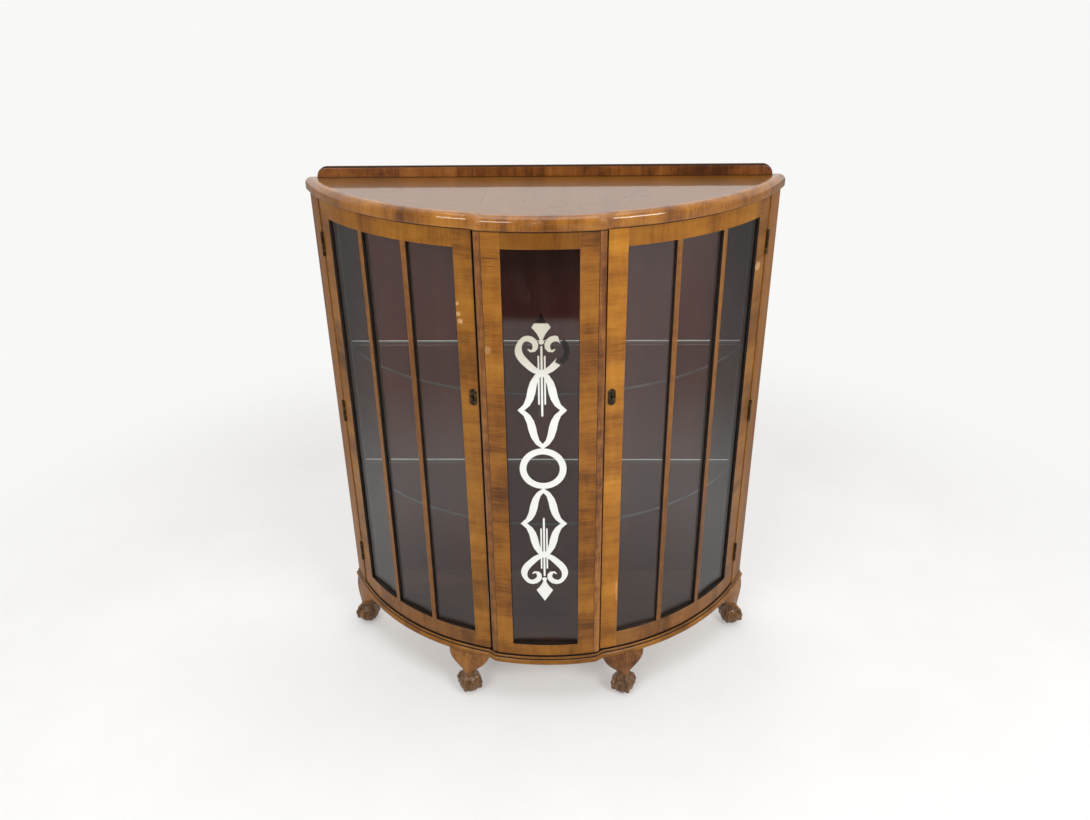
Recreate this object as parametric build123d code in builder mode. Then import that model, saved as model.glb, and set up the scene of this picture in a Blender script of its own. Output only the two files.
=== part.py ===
from build123d import *
import math
import os

# A bow-fronted walnut china cabinet: a fixed centre panel, two glazed doors and four claw and ball feet.
# Millimetres. The floor is z = 0, the front faces -Y, and the front's arcs share one centre behind the back.

# Heights
LEG_HEIGHT = 117
BASE_THICKNESS = 21
CASE_HEIGHT = 1000
TOP_THICKNESS = 28
GALLERY_HEIGHT = 22

# Plan: radii about the arc centre, and angles in degrees from the front centre line
DOOR_RADIUS = 549
BREAKFRONT = 9
ARC_SETBACK = 229
CENTRE_EDGE = 11.4
STEP_START = 11.8
STEP_END = 13.9
STEP_ROUND = 18
STRAIGHT_END = 6
SEAM_FORWARD = 55.8

# Base edge, top edge and gallery
NOSE = 9
EDGE_DEPTH = 18
TOP_ROUND = 14
TOP_UNDER_ROUND = 5
BEAD_REACH = 4.5
BEAD_HEIGHT = 5
BEAD_ROUND = 2.2
QUIRK_REACH = 0.5
QUIRK_HEIGHT = 2
BASE_ROUND = 6
BASE_UNDER_EASE = 3
GALLERY_INSET = 11
GALLERY_THICKNESS = 14
GALLERY_CORNER = 20
GALLERY_EASE = 3

# Uprights and back
FRAME_THICKNESS = 22
SIDE_POST_THICKNESS = 24
SIDE_POST_PROUD = 2
CENTRE_POST_WIDTH = 16
CENTRE_POST_DEPTH = 39
POST_SET_BACK = 1
POST_ROUND = 9
STOP_WIDTH = 14
STOP_PLAY = 0.6
BACK_THICKNESS = 5
BACK_REBATE = 12

# Frames and glazing
DOOR_GAP = 2
LOCK_STILE = 39
HINGE_STILE = 46
TOP_RAIL = 36
BOTTOM_RAIL = 43
BAR_WIDTH = 12
BAR_ANGLES = (28.8, 41.1)
CENTRE_STILE = 37
CENTRE_TOP_RAIL = 34
CENTRE_BOTTOM_RAIL = 33
GLASS = 3
DOOR_GLASS_SETBACK = 8
CENTRE_GLASS_SETBACK = 12
GLASS_PLAY = 0.3
REBATE = 3.5
GLAZING_BEAD = 5

# Glass shelves and the pegs under them
SHELF_THICKNESS = 6
SHELF_CLEARANCE = 3
SHELF_HEIGHTS = {"lower": 333, "upper": 648}
PEG_SIZE = 6
PEG_SEAT = 8
PEG_SUPPORT = 12

# Butt hinges, three to a door
HINGE_BOTTOM = 98
HINGE_TOP = 102
HINGE_LENGTH = 52
HINGE_PROUD = 1.5
KNUCKLE_RADIUS = 4
KNUCKLE_PLAY = 0.4
END_PLAY = 0.2
LEAF_THICKNESS = 1.6
LEAF_DEPTH = 17
PIN_RADIUS = 1.6
PIN_PLAY = 0.05

# Locks
LOCK_HEIGHT = 654.5
LOCK_INSET = 13
PLATE_HEIGHT = 36
PLATE_WIDTH = 16
PLATE_CHAMFER = 5
PLATE_THICKNESS = 1.5
PLATE_INLET = 0.3
KEY_RADIUS = 2.3
KEY_SLOT = 2.2
KEY_DROP = 9
LOCK_WIDTH = 24
LOCK_TALL = 44
LOCK_DEEP = 10
LOCK_EDGE = 4
BOLT_THICK = 5
BOLT_TALL = 12
BOLT_RISE = 10
BOLT_LENGTH = 20
BOLT_INSET = 0.6
BOLT_TRAVEL = 8
BOLT_PLAY = 0.4
KEEP_TALL = 24
KEEP_DEEP = 9
KEEP_THICK = 1

# Legs
FRONT_LEG_ANGLE = 19.6
REAR_LEG_ANGLE = 61.3
KNEE_WIDTH = 102
KNEE_DEPTH = 52
KNEE_PROUD = 6.5
KNEE_SWELL = 3
KNEE_CURVE = 1.4
KNEE_SQUARE = 5
ANKLE_HEIGHT = 56
ANKLE_RADIUS = 14.5
ANKLE_SQUARE = 2
LEG_STEPS = 6
LEG_SIDES = 20
BALL_RADIUS = 24.5
BALL_SETBACK = 4
BALL_BANDS = 8
FOOT_FLAT = 3
TALON_RADIUS = 5
TALON_TOP = 26
TALON_END = 100
TALON_STEPS = 3
TALON_TURNS = (0, 85, 180, 275)
NAIL_LENGTH = 13
NAIL_TIP = 2
TENON_SIZE = 18
TENON_DEPTH = 14

# Ornament on the centre glass: x from the centre line, y from the centre of its ring
ORNAMENT_HEIGHT = 496
ORNAMENT_THICKNESS = 0.5
RING_OUTER = 48.5
RING_INNER = 34.5
REED_WIDTH = 4.2
REED_START = 122
REED_END = 275.5
SIDE_REED_WIDTH = 3.4
SIDE_REED_OFFSET = 6.2
SIDE_REED_START = 148.5
SIDE_REED_END = 255
DIAMOND_TIP = (49.5, 136)
DIAMOND_OUTER = ((0, 47), (19.5, 66), (27.5, 86), (33, 113))
DIAMOND_INNER = ((-3, 55), (7, 68), (12, 92), (19, 116), (36, 136))
SCROLL_RISE = ((0, 219), (12, 223), (27, 236), (44.8, 269))
SCROLL_CURL = ((28, 291.5), (11.3, 277), (17.5, 264.5), (26.5, 269))
SCROLL_WIDTHS = (10, 14, 15.5, 15, 9, 12.5, 11, 2)
CURVE_STEPS = 6
RIBBON_STEPS = 22
FINIAL_TIP = 344
FINIAL_SHOULDER = 313.5
FINIAL_HALF = 18.5
FINIAL_NECK = 3
FINIAL_FOOT = 289
FINIAL_BEAD = 5.2
WORN_TIP = 322
WORN_SCROLL = ((31, 300), (38, 273), (26, 241), (40, 233), (70, 250), (70, 300))

# Levels and places that follow from these
CENTRE_RADIUS = DOOR_RADIUS + BREAKFRONT
BACK_Y = (CENTRE_RADIUS + NOSE - ARC_SETBACK) / 2
ARC_Y = BACK_Y + ARC_SETBACK
CASE_Z = LEG_HEIGHT + BASE_THICKNESS
TOP_Z = CASE_Z + CASE_HEIGHT
EDGE_REACH = NOSE - EDGE_DEPTH
DOOR_BACK = DOOR_RADIUS - FRAME_THICKNESS
CENTRE_BACK = CENTRE_RADIUS - FRAME_THICKNESS
SIDE_POST_FRONT = DOOR_RADIUS + SIDE_POST_PROUD
SIDE_POST_BACK = DOOR_RADIUS - SIDE_POST_THICKNESS
POST_FRONT = CENTRE_RADIUS - POST_SET_BACK
POST_BACK = POST_FRONT - CENTRE_POST_DEPTH
HINGE_RADIUS = DOOR_RADIUS + HINGE_PROUD
SEAM_ANGLE = math.degrees(math.acos((ARC_SETBACK + SEAM_FORWARD) / DOOR_RADIUS))
GALLERY_LENGTH = 2 * (math.sqrt((DOOR_RADIUS + EDGE_REACH) ** 2 - ARC_SETBACK**2) - GALLERY_INSET)
BACK_HALF = math.sqrt(SIDE_POST_BACK**2 - ARC_SETBACK**2) + BACK_REBATE
BACK_FACE = BACK_Y - BACK_THICKNESS
SHELF_RADIUS = POST_BACK - SHELF_CLEARANCE
KNEE_FRONT = DOOR_RADIUS + KNEE_PROUD
TENON_RADIUS = KNEE_FRONT - (KNEE_DEPTH + TENON_SIZE) / 2
BALL_CENTRE = DOOR_RADIUS - BALL_SETBACK
HINGE_HEIGHTS = (HINGE_BOTTOM, (HINGE_BOTTOM + CASE_HEIGHT - HINGE_TOP) / 2, CASE_HEIGHT - HINGE_TOP)
DOOR_BOTTOM = CASE_Z + DOOR_GAP
DOOR_TOP = TOP_Z - DOOR_GAP
SIGHT_BOTTOM = DOOR_BOTTOM + BOTTOM_RAIL
SIGHT_TOP = DOOR_TOP - TOP_RAIL
CENTRE_SIGHT_BOTTOM = CASE_Z + CENTRE_BOTTOM_RAIL
CENTRE_SIGHT_TOP = TOP_Z - CENTRE_TOP_RAIL
LEG_ANGLES = {
    "front_left": -FRONT_LEG_ANGLE,
    "front_right": FRONT_LEG_ANGLE,
    "rear_left": -REAR_LEG_ANGLE,
    "rear_right": REAR_LEG_ANGLE,
}


def span(length, radius=DOOR_RADIUS):
    """The angle that a length takes up on an arc."""
    return math.degrees(length / radius)


POST_EDGE = CENTRE_EDGE + span(CENTRE_POST_WIDTH)
DOOR_START = POST_EDGE + span(DOOR_GAP)
DOOR_END = SEAM_ANGLE - span(DOOR_GAP / 2)
SIDE_POST_START = SEAM_ANGLE + span(DOOR_GAP / 2)
SIDE_POST_END = math.degrees(math.acos((ARC_SETBACK + BACK_THICKNESS) / SIDE_POST_BACK))
OPENING_START = DOOR_START + span(LOCK_STILE)
OPENING_END = DOOR_END - span(HINGE_STILE)
CENTRE_OPENING = CENTRE_EDGE - span(CENTRE_STILE, CENTRE_RADIUS)
LOCK_ANGLE = DOOR_START + span(LOCK_INSET)
CENTRE_PEG_ANGLE = (CENTRE_EDGE + POST_EDGE + span(STOP_WIDTH)) / 2
SIDE_PEG_ANGLE = (SIDE_POST_START + SIDE_POST_END) / 2
BOLT_DEPTH = FRAME_THICKNESS - LOCK_DEEP / 2
BOLT_END = BOLT_INSET - LOCK_INSET


def polar(radius, angle, z=0.0):
    """A point at a radius and an angle on the bow front."""
    turn = math.radians(angle)
    return Vector(radius * math.sin(turn), ARC_Y - radius * math.cos(turn), z)


def facing(radius, angle, z=0.0):
    """A plane that faces outward at an angle on the bow front: x runs along the front, y is up."""
    turn = math.radians(angle)
    along = (math.cos(turn), math.sin(turn), 0)
    outward = (math.sin(turn), -math.cos(turn), 0)
    return Plane(origin=polar(radius, angle, z), x_dir=along, z_dir=outward)


def sector(inner, outer, start, end):
    """Draws a piece of ring between two radii and two angles."""
    with BuildLine() as border:
        front = CenterArc((0, ARC_Y), outer, start - 90, end - start)
        rear = CenterArc((0, ARC_Y), inner, start - 90, end - start)
        Line(front @ 0, rear @ 0)
        Line(front @ 1, rear @ 1)
    make_face(border.edges())


def curved_bar(inner, outer, start, end, bottom, top):
    """Adds an upright or a rail that follows the bow front."""
    with BuildSketch(Plane.XY.offset(bottom)) as plan:
        sector(inner, outer, start, end)
    extrude(plan.sketch, amount=top - bottom)


def plate(reach, bottom, height, mode=Mode.ADD, behind=0.0):
    """Adds or cuts a layer with the case's plan, out from the front faces by reach and past the back plane."""
    side = DOOR_RADIUS + reach
    turn = math.acos((ARC_SETBACK + STRAIGHT_END) / side)
    sweep_angle = math.degrees(turn) - STEP_END
    run = (STRAIGHT_END + behind) / math.sin(turn)
    with BuildSketch(Plane.XY.offset(bottom)) as plan:
        with BuildLine():
            middle = CenterArc((0, ARC_Y), CENTRE_RADIUS + reach, -90 - STEP_START, 2 * STEP_START)
            right = CenterArc((0, ARC_Y), side, STEP_END - 90, sweep_angle)
            left = CenterArc((0, ARC_Y), side, -90 - STEP_END, -sweep_angle)
            right_end = Line(right @ 1, right @ 1 + (right % 1) * run)
            left_end = Line(left @ 1, left @ 1 + (left % 1) * run)
            Line(middle @ 1, right @ 0)
            Line(middle @ 0, left @ 0)
            Line(right_end @ 1, left_end @ 1)
        make_face()
        fillet(plan.vertices().sort_by(Axis.Y)[:4], STEP_ROUND)
    extrude(plan.sketch, amount=height, mode=mode)


def front_edges(builder, level):
    """The edges of the front outline at one height."""
    level_edges = builder.edges().filter_by_position(Axis.Z, level, level)
    return level_edges.filter_by(lambda edge: edge.center().Y < BACK_Y - 1)


def write(part, name):
    """Labels a finished piece and writes it."""
    part.label = name
    export_step(part, f"parts/{name}.step")


def write_pair(part, name):
    """Writes a right-hand piece and its mirror image on the left."""
    write(part, f"right_{name}")
    with BuildPart() as twin:
        mirror(part, about=Plane.YZ)
    write(twin.part, f"left_{name}")


os.makedirs("parts", exist_ok=True)

# Base: a board with a moulded edge, a bead over a quirk over an ovolo
with BuildPart() as leg_tenons:
    for angle in LEG_ANGLES.values():
        with Locations(Location(polar(TENON_RADIUS, angle, LEG_HEIGHT), (0, 0, angle))):
            Box(TENON_SIZE, TENON_SIZE, 2 * TENON_DEPTH)
write(leg_tenons.part, "leg_tenons")

with BuildPart() as base_board:
    plate(EDGE_REACH, LEG_HEIGHT, BASE_THICKNESS)
    add(leg_tenons.part, mode=Mode.SUBTRACT)
write(base_board.part, "base_board")

OVOLO_HEIGHT = BASE_THICKNESS - BEAD_HEIGHT - QUIRK_HEIGHT
with BuildPart() as base_moulding:
    plate(NOSE, LEG_HEIGHT, OVOLO_HEIGHT, behind=EDGE_DEPTH)
    fillet(front_edges(base_moulding, LEG_HEIGHT + OVOLO_HEIGHT), BASE_ROUND)
    chamfer(front_edges(base_moulding, LEG_HEIGHT), BASE_UNDER_EASE)
    plate(QUIRK_REACH, LEG_HEIGHT + OVOLO_HEIGHT, QUIRK_HEIGHT, behind=EDGE_DEPTH)
    plate(BEAD_REACH, CASE_Z - BEAD_HEIGHT, BEAD_HEIGHT, behind=EDGE_DEPTH)
    fillet(front_edges(base_moulding, CASE_Z), BEAD_ROUND)
    plate(EDGE_REACH, LEG_HEIGHT, BASE_THICKNESS, Mode.SUBTRACT, EDGE_DEPTH)
    split(bisect_by=Plane.XZ.offset(-BACK_Y), keep=Keep.TOP)
write(base_moulding.part, "base_moulding")

# Top: a veneered board, its bullnose edge and the gallery along the back
with BuildPart() as top_board:
    plate(EDGE_REACH, TOP_Z, TOP_THICKNESS)
write(top_board.part, "top_board")

with BuildPart() as top_moulding:
    plate(NOSE, TOP_Z, TOP_THICKNESS, behind=EDGE_DEPTH)
    fillet(front_edges(top_moulding, TOP_Z + TOP_THICKNESS), TOP_ROUND)
    fillet(front_edges(top_moulding, TOP_Z), TOP_UNDER_ROUND)
    plate(EDGE_REACH, TOP_Z, TOP_THICKNESS, Mode.SUBTRACT, EDGE_DEPTH)
    split(bisect_by=Plane.XZ.offset(-BACK_Y), keep=Keep.TOP)
write(top_moulding.part, "top_moulding")

with BuildPart() as gallery:
    with BuildSketch(Plane.XZ.offset(-BACK_Y)) as upstand:
        with Locations((0, TOP_Z + TOP_THICKNESS)):
            Rectangle(GALLERY_LENGTH, GALLERY_HEIGHT, align=(Align.CENTER, Align.MIN))
        fillet(upstand.vertices().group_by(Axis.Y)[-1], GALLERY_CORNER)
    extrude(amount=GALLERY_THICKNESS)
    front_face = gallery.faces().sort_by(Axis.Y)[0]
    fillet(front_face.edges().sort_by(Axis.Z)[1:], GALLERY_EASE)
write(gallery.part, "gallery")


# Shelf pegs are square studs in blind holes in the posts, under the glass
def peg_places():
    """Planes on the inner faces of the right-hand posts, one for each peg."""
    for height in SHELF_HEIGHTS.values():
        level = CASE_Z + height - PEG_SIZE / 2
        yield facing(SIDE_POST_BACK, SIDE_PEG_ANGLE, level)
        yield facing(POST_BACK, CENTRE_PEG_ANGLE, level)


def pegs(mode=Mode.ADD):
    """Adds the pegs or cuts their holes."""
    for place in peg_places():
        reach = math.hypot(place.origin.X, ARC_Y - place.origin.Y) - SHELF_RADIUS + PEG_SUPPORT
        with BuildSketch(place.offset(-reach)) as stud:
            Rectangle(PEG_SIZE, PEG_SIZE)
        extrude(stud.sketch, amount=reach + PEG_SEAT, mode=mode)


with BuildPart() as shelf_pegs:
    pegs()
    mirror(about=Plane.YZ)
write(shelf_pegs.part, "shelf_pegs")

for name, height in SHELF_HEIGHTS.items():
    with BuildPart() as shelf:
        with BuildSketch(Plane.XY.offset(CASE_Z + height)):
            with Locations((0, ARC_Y)):
                Circle(SHELF_RADIUS)
            with Locations((0, BACK_FACE - SHELF_CLEARANCE - SHELF_RADIUS)):
                Rectangle(2 * SHELF_RADIUS, 2 * SHELF_RADIUS, mode=Mode.INTERSECT)
        extrude(amount=SHELF_THICKNESS)
    write(shelf.part, f"{name}_shelf")


# Butt hinges: leaves let into the door's and the post's edges, knuckles standing out at the seam
def hinge_centres():
    """The heights of the hinge centres."""
    return [CASE_Z + height for height in HINGE_HEIGHTS]


def barrel(radius, bottom, top, mode=Mode.ADD):
    """Adds or cuts a round bar on the hinge axis."""
    with BuildSketch(Plane.XY.offset(bottom)) as round_bar:
        with Locations(polar(HINGE_RADIUS, SEAM_ANGLE)):
            Circle(radius)
    extrude(round_bar.sketch, amount=top - bottom, mode=mode)


def leaves(edge, side, mode=Mode.ADD):
    """Adds or cuts the leaf plates let into the edge at an angle; side is 1 for the post, -1 for the door."""
    for centre in hinge_centres():
        with BuildSketch(facing(HINGE_RADIUS, edge, centre)) as leaf:
            with Locations((side * LEAF_THICKNESS / 2, 0)):
                Rectangle(LEAF_THICKNESS, HINGE_LENGTH)
        extrude(leaf.sketch, amount=-LEAF_DEPTH, mode=mode)


def hinge_housing(edge, side):
    """Cuts the places for leaves and knuckles into an edge."""
    leaves(edge, side, Mode.SUBTRACT)
    half = HINGE_LENGTH / 2 + KNUCKLE_PLAY
    for centre in hinge_centres():
        barrel(KNUCKLE_RADIUS + KNUCKLE_PLAY, centre - half, centre + half, Mode.SUBTRACT)


def knuckles(edge, side, own, other, bore):
    """Adds one side's leaves with their knuckles, cut clear of the other side's knuckles."""
    leaves(edge, side)
    clear = KNUCKLE_RADIUS + KNUCKLE_PLAY
    for centre in hinge_centres():
        for low, high in other:
            barrel(clear, centre + low - END_PLAY, centre + high + END_PLAY, Mode.SUBTRACT)
        for low, high in own:
            barrel(KNUCKLE_RADIUS, centre + low, centre + high)
        barrel(bore, centre - HINGE_LENGTH / 2, centre + HINGE_LENGTH / 2, Mode.SUBTRACT)


# The pins are tight in the post's knuckles and the door's knuckles turn on them
THIRD = HINGE_LENGTH / 6
POST_KNUCKLES = ((-3 * THIRD, -THIRD), (THIRD, 3 * THIRD))
DOOR_KNUCKLES = ((-THIRD + END_PLAY, THIRD - END_PLAY),)

with BuildPart() as hinge_post_leaves:
    knuckles(SIDE_POST_START, 1, POST_KNUCKLES, DOOR_KNUCKLES, PIN_RADIUS)
write_pair(hinge_post_leaves.part, "hinge_post_leaves")

with BuildPart() as hinge_door_leaves:
    knuckles(DOOR_END, -1, DOOR_KNUCKLES, POST_KNUCKLES, PIN_RADIUS + PIN_PLAY)
write_pair(hinge_door_leaves.part, "hinge_door_leaves")

with BuildPart() as hinge_pins:
    for centre in hinge_centres():
        barrel(PIN_RADIUS, centre - HINGE_LENGTH / 2, centre + HINGE_LENGTH / 2)
write_pair(hinge_pins.part, "hinge_pins")


# Locks: a case let into the back of the lock stile, and a bolt that slides into the centre post
def lock_plane(depth=0.0):
    """A plane at the keyhole that faces outward, a depth behind the door's face."""
    return facing(DOOR_RADIUS - depth, LOCK_ANGLE, CASE_Z + LOCK_HEIGHT)


def bolt_bar(free_end, length, play=0.0, mode=Mode.ADD):
    """Adds or cuts the bolt's bar from its free end, which points at the centre post."""
    with BuildSketch(lock_plane(BOLT_DEPTH - BOLT_THICK / 2 - play)) as bar:
        with Locations((free_end, BOLT_RISE)):
            Rectangle(length, BOLT_TALL + 2 * play, align=(Align.MIN, Align.CENTER))
    extrude(bar.sketch, amount=-BOLT_THICK - 2 * play, mode=mode)


def lock_body(behind=0.0, mode=Mode.ADD):
    """Adds or cuts the block of the lock case, which may reach behind the frame."""
    with BuildSketch(lock_plane(FRAME_THICKNESS + behind)) as block:
        with Locations((LOCK_EDGE - LOCK_INSET, 0)):
            Rectangle(LOCK_WIDTH, LOCK_TALL, align=(Align.MIN, Align.CENTER))
    extrude(block.sketch, amount=LOCK_DEEP + behind, mode=mode)


def keyhole(depth):
    """Cuts the keyhole from the front to a depth behind the door's face."""
    with BuildSketch(lock_plane(-PLATE_THICKNESS)) as hole:
        Circle(KEY_RADIUS)
        Rectangle(KEY_SLOT, KEY_DROP, align=(Align.CENTER, Align.MAX))
    extrude(hole.sketch, amount=-PLATE_THICKNESS - depth, mode=Mode.SUBTRACT)


def key_plate(height, mode=Mode.ADD):
    """Adds or cuts the escutcheon, a long plate with clipped corners."""
    with BuildSketch(lock_plane(PLATE_INLET)) as outline:
        Rectangle(PLATE_WIDTH, PLATE_HEIGHT)
        chamfer(outline.vertices(), length=PLATE_CHAMFER)
    extrude(outline.sketch, amount=height, mode=mode)


def keep_plate(mode=Mode.ADD):
    """Adds or cuts the keep let into the side of the centre post."""
    level = CASE_Z + LOCK_HEIGHT + BOLT_RISE
    with BuildSketch(facing(DOOR_RADIUS - BOLT_DEPTH + KEEP_DEEP / 2, POST_EDGE, level)) as strip:
        with Locations((-KEEP_THICK / 2, 0)):
            Rectangle(KEEP_THICK, KEEP_TALL)
    extrude(strip.sketch, amount=-KEEP_DEEP, mode=mode)


KEYHOLE_DEPTH = FRAME_THICKNESS - LOCK_DEEP / 2
BOLT_ROOM = BOLT_LENGTH + BOLT_TRAVEL

with BuildPart() as escutcheon:
    key_plate(PLATE_THICKNESS)
    keyhole(FRAME_THICKNESS)
    plate_face = escutcheon.faces().sort_by(Axis((0, 0, 0), lock_plane().z_dir))[-1]
    chamfer(plate_face.outer_wire().edges(), PLATE_INLET)
write_pair(escutcheon.part, "escutcheon")

with BuildPart() as lock_case:
    lock_body()
    keyhole(KEYHOLE_DEPTH)
    bolt_bar(BOLT_END - BOLT_TRAVEL, BOLT_ROOM + BOLT_PLAY, BOLT_PLAY, Mode.SUBTRACT)
write_pair(lock_case.part, "lock_case")

with BuildPart() as lock_bolt:
    bolt_bar(BOLT_END, BOLT_LENGTH)
write_pair(lock_bolt.part, "lock_bolt")

with BuildPart() as lock_keeps:
    keep_plate()
    bolt_bar(BOLT_END - BOLT_TRAVEL - BOLT_PLAY, BOLT_ROOM, BOLT_PLAY, Mode.SUBTRACT)
    mirror(about=Plane.YZ)
write(lock_keeps.part, "lock_keeps")

# Uprights: the side posts carry the hinges, the centre posts stop the doors
with BuildPart() as side_post:
    rear_angle = math.degrees(math.acos(ARC_SETBACK / SIDE_POST_FRONT))
    curved_bar(SIDE_POST_BACK, SIDE_POST_FRONT, SIDE_POST_START, rear_angle, CASE_Z, TOP_Z)
    with BuildSketch(Plane.XY.offset(CASE_Z)):
        with Locations((0, BACK_Y)):
            Rectangle(2 * SIDE_POST_FRONT, SIDE_POST_THICKNESS, align=(Align.CENTER, Align.MIN))
        with Locations((BACK_HALF, BACK_Y)):
            Rectangle(2 * BACK_REBATE, BACK_THICKNESS, align=Align.MAX)
    extrude(amount=CASE_HEIGHT, mode=Mode.SUBTRACT)
    hinge_housing(SIDE_POST_START, 1)
    pegs(Mode.SUBTRACT)
write_pair(side_post.part, "side_post")

with BuildPart() as centre_post:
    with BuildSketch(Plane.XY.offset(CASE_Z)) as post_plan:
        sector(POST_BACK, POST_FRONT, CENTRE_EDGE, POST_EDGE)
        nose_corner = post_plan.vertices().sort_by_distance(polar(POST_FRONT, POST_EDGE))[0]
        fillet(nose_corner, POST_ROUND)
        sector(POST_BACK, DOOR_BACK - STOP_PLAY, POST_EDGE, POST_EDGE + span(STOP_WIDTH))
    extrude(amount=CASE_HEIGHT)
    keep_plate(Mode.SUBTRACT)
    bolt_bar(BOLT_END - BOLT_TRAVEL - BOLT_PLAY, BOLT_ROOM, BOLT_PLAY, Mode.SUBTRACT)
    pegs(Mode.SUBTRACT)
write_pair(centre_post.part, "centre_post")

with BuildPart() as back_panel:
    with BuildSketch(Plane.XY.offset(CASE_Z)):
        with Locations((0, BACK_Y)):
            Rectangle(2 * BACK_HALF, BACK_THICKNESS, align=(Align.CENTER, Align.MAX))
    extrude(amount=CASE_HEIGHT)
write(back_panel.part, "back_panel")


# Glazing: each pane is flat, in a rebate behind its curved frame, and held by beads
class Pane:
    """A flat pane, set back behind an opening between two angles and two heights."""

    def __init__(self, radius, setback, start, end, bottom, top):
        self.width = 2 * radius * math.sin(math.radians(end - start) / 2) + 2 * REBATE
        self.height = top - bottom + 2 * REBATE
        self.place = facing(radius - setback, (start + end) / 2, (bottom + top) / 2)

    def glass(self):
        """Adds the pane."""
        with BuildSketch(self.place) as sheet:
            Rectangle(self.width, self.height)
        extrude(sheet.sketch, amount=-GLASS)

    def rebate(self):
        """Cuts the rebate that the pane and its beads sit in."""
        with BuildSketch(self.place) as recess:
            Rectangle(self.width + 2 * GLASS_PLAY, self.height + 2 * GLASS_PLAY)
        extrude(recess.sketch, amount=-FRAME_THICKNESS, mode=Mode.SUBTRACT)

    def beads(self):
        """Adds the four beads behind the pane."""
        behind = self.place.offset(-GLASS)
        between = self.width - 2 * REBATE - 2 * GLASS_PLAY
        for end in (-1, 1):
            with BuildSketch(behind) as strips:
                with Locations((end * (self.width - REBATE) / 2, 0)):
                    Rectangle(REBATE, self.height)
                with Locations((0, end * (self.height - REBATE) / 2)):
                    Rectangle(between, REBATE)
            extrude(strips.sketch, amount=-GLAZING_BEAD)


half_bar = span(BAR_WIDTH) / 2
bar_edges = [(angle - half_bar, angle + half_bar) for angle in BAR_ANGLES]
door_spans = {
    "inner": (OPENING_START, bar_edges[0][0]),
    "middle": (bar_edges[0][1], bar_edges[1][0]),
    "outer": (bar_edges[1][1], OPENING_END),
}
door_panes = {}
for name, (start, end) in door_spans.items():
    door_panes[name] = Pane(DOOR_RADIUS, DOOR_GLASS_SETBACK, start, end, SIGHT_BOTTOM, SIGHT_TOP)
centre_pane = Pane(
    CENTRE_RADIUS, CENTRE_GLASS_SETBACK, -CENTRE_OPENING, CENTRE_OPENING, CENTRE_SIGHT_BOTTOM, CENTRE_SIGHT_TOP
)

# Fixed centre frame, proud of the doors
with BuildPart() as centre_stile:
    curved_bar(CENTRE_BACK, CENTRE_RADIUS, CENTRE_OPENING, CENTRE_EDGE, CASE_Z, TOP_Z)
    centre_pane.rebate()
write_pair(centre_stile.part, "centre_stile")

with BuildPart() as centre_bottom_rail:
    curved_bar(CENTRE_BACK, CENTRE_RADIUS, -CENTRE_OPENING, CENTRE_OPENING, CASE_Z, CENTRE_SIGHT_BOTTOM)
    centre_pane.rebate()
write(centre_bottom_rail.part, "centre_bottom_rail")

with BuildPart() as centre_top_rail:
    curved_bar(CENTRE_BACK, CENTRE_RADIUS, -CENTRE_OPENING, CENTRE_OPENING, CENTRE_SIGHT_TOP, TOP_Z)
    centre_pane.rebate()
write(centre_top_rail.part, "centre_top_rail")

with BuildPart() as centre_glass:
    centre_pane.glass()
write(centre_glass.part, "centre_glass")

with BuildPart() as centre_glass_beads:
    centre_pane.beads()
write(centre_glass_beads.part, "centre_glass_beads")

# Doors: stiles run through, rails and bars stand between them
with BuildPart() as door_lock_stile:
    curved_bar(DOOR_BACK, DOOR_RADIUS, DOOR_START, OPENING_START, DOOR_BOTTOM, DOOR_TOP)
    door_panes["inner"].rebate()
    lock_body(GLAZING_BEAD, Mode.SUBTRACT)
    bolt_bar(BOLT_END - BOLT_TRAVEL, BOLT_ROOM, BOLT_PLAY, Mode.SUBTRACT)
    key_plate(PLATE_THICKNESS, Mode.SUBTRACT)
    keyhole(FRAME_THICKNESS)
write_pair(door_lock_stile.part, "door_lock_stile")

with BuildPart() as door_hinge_stile:
    curved_bar(DOOR_BACK, DOOR_RADIUS, OPENING_END, DOOR_END, DOOR_BOTTOM, DOOR_TOP)
    door_panes["outer"].rebate()
    hinge_housing(DOOR_END, -1)
write_pair(door_hinge_stile.part, "door_hinge_stile")

with BuildPart() as door_bottom_rail:
    curved_bar(DOOR_BACK, DOOR_RADIUS, OPENING_START, OPENING_END, DOOR_BOTTOM, SIGHT_BOTTOM)
    for pane in door_panes.values():
        pane.rebate()
write_pair(door_bottom_rail.part, "door_bottom_rail")

with BuildPart() as door_top_rail:
    curved_bar(DOOR_BACK, DOOR_RADIUS, OPENING_START, OPENING_END, SIGHT_TOP, DOOR_TOP)
    for pane in door_panes.values():
        pane.rebate()
write_pair(door_top_rail.part, "door_top_rail")

with BuildPart() as door_glazing_bars:
    for start, end in bar_edges:
        curved_bar(DOOR_BACK, DOOR_RADIUS, start, end, SIGHT_BOTTOM, SIGHT_TOP)
    for pane in door_panes.values():
        pane.rebate()
write_pair(door_glazing_bars.part, "door_glazing_bars")

for name, pane in door_panes.items():
    with BuildPart() as door_pane:
        pane.glass()
    write_pair(door_pane.part, f"door_{name}_pane")

with BuildPart() as door_glazing_beads:
    for pane in door_panes.values():
        pane.beads()
write_pair(door_glazing_beads.part, "door_glazing_beads")


# Ornament on the centre glass: strokes repeated over both centre lines
def smooth(points, steps):
    """Points along a smooth line through the given ones, with the line's direction at each."""
    line = Edge.make_spline([Vector(x, y) for x, y in points])
    return [(line @ (step / steps), line % (step / steps)) for step in range(steps + 1)]


def stroke(one, other):
    """Draws a stroke between two edges given as points."""
    with BuildLine() as border:
        Polyline(*one, *reversed(other), close=True)
    make_face(border.edges())


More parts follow.
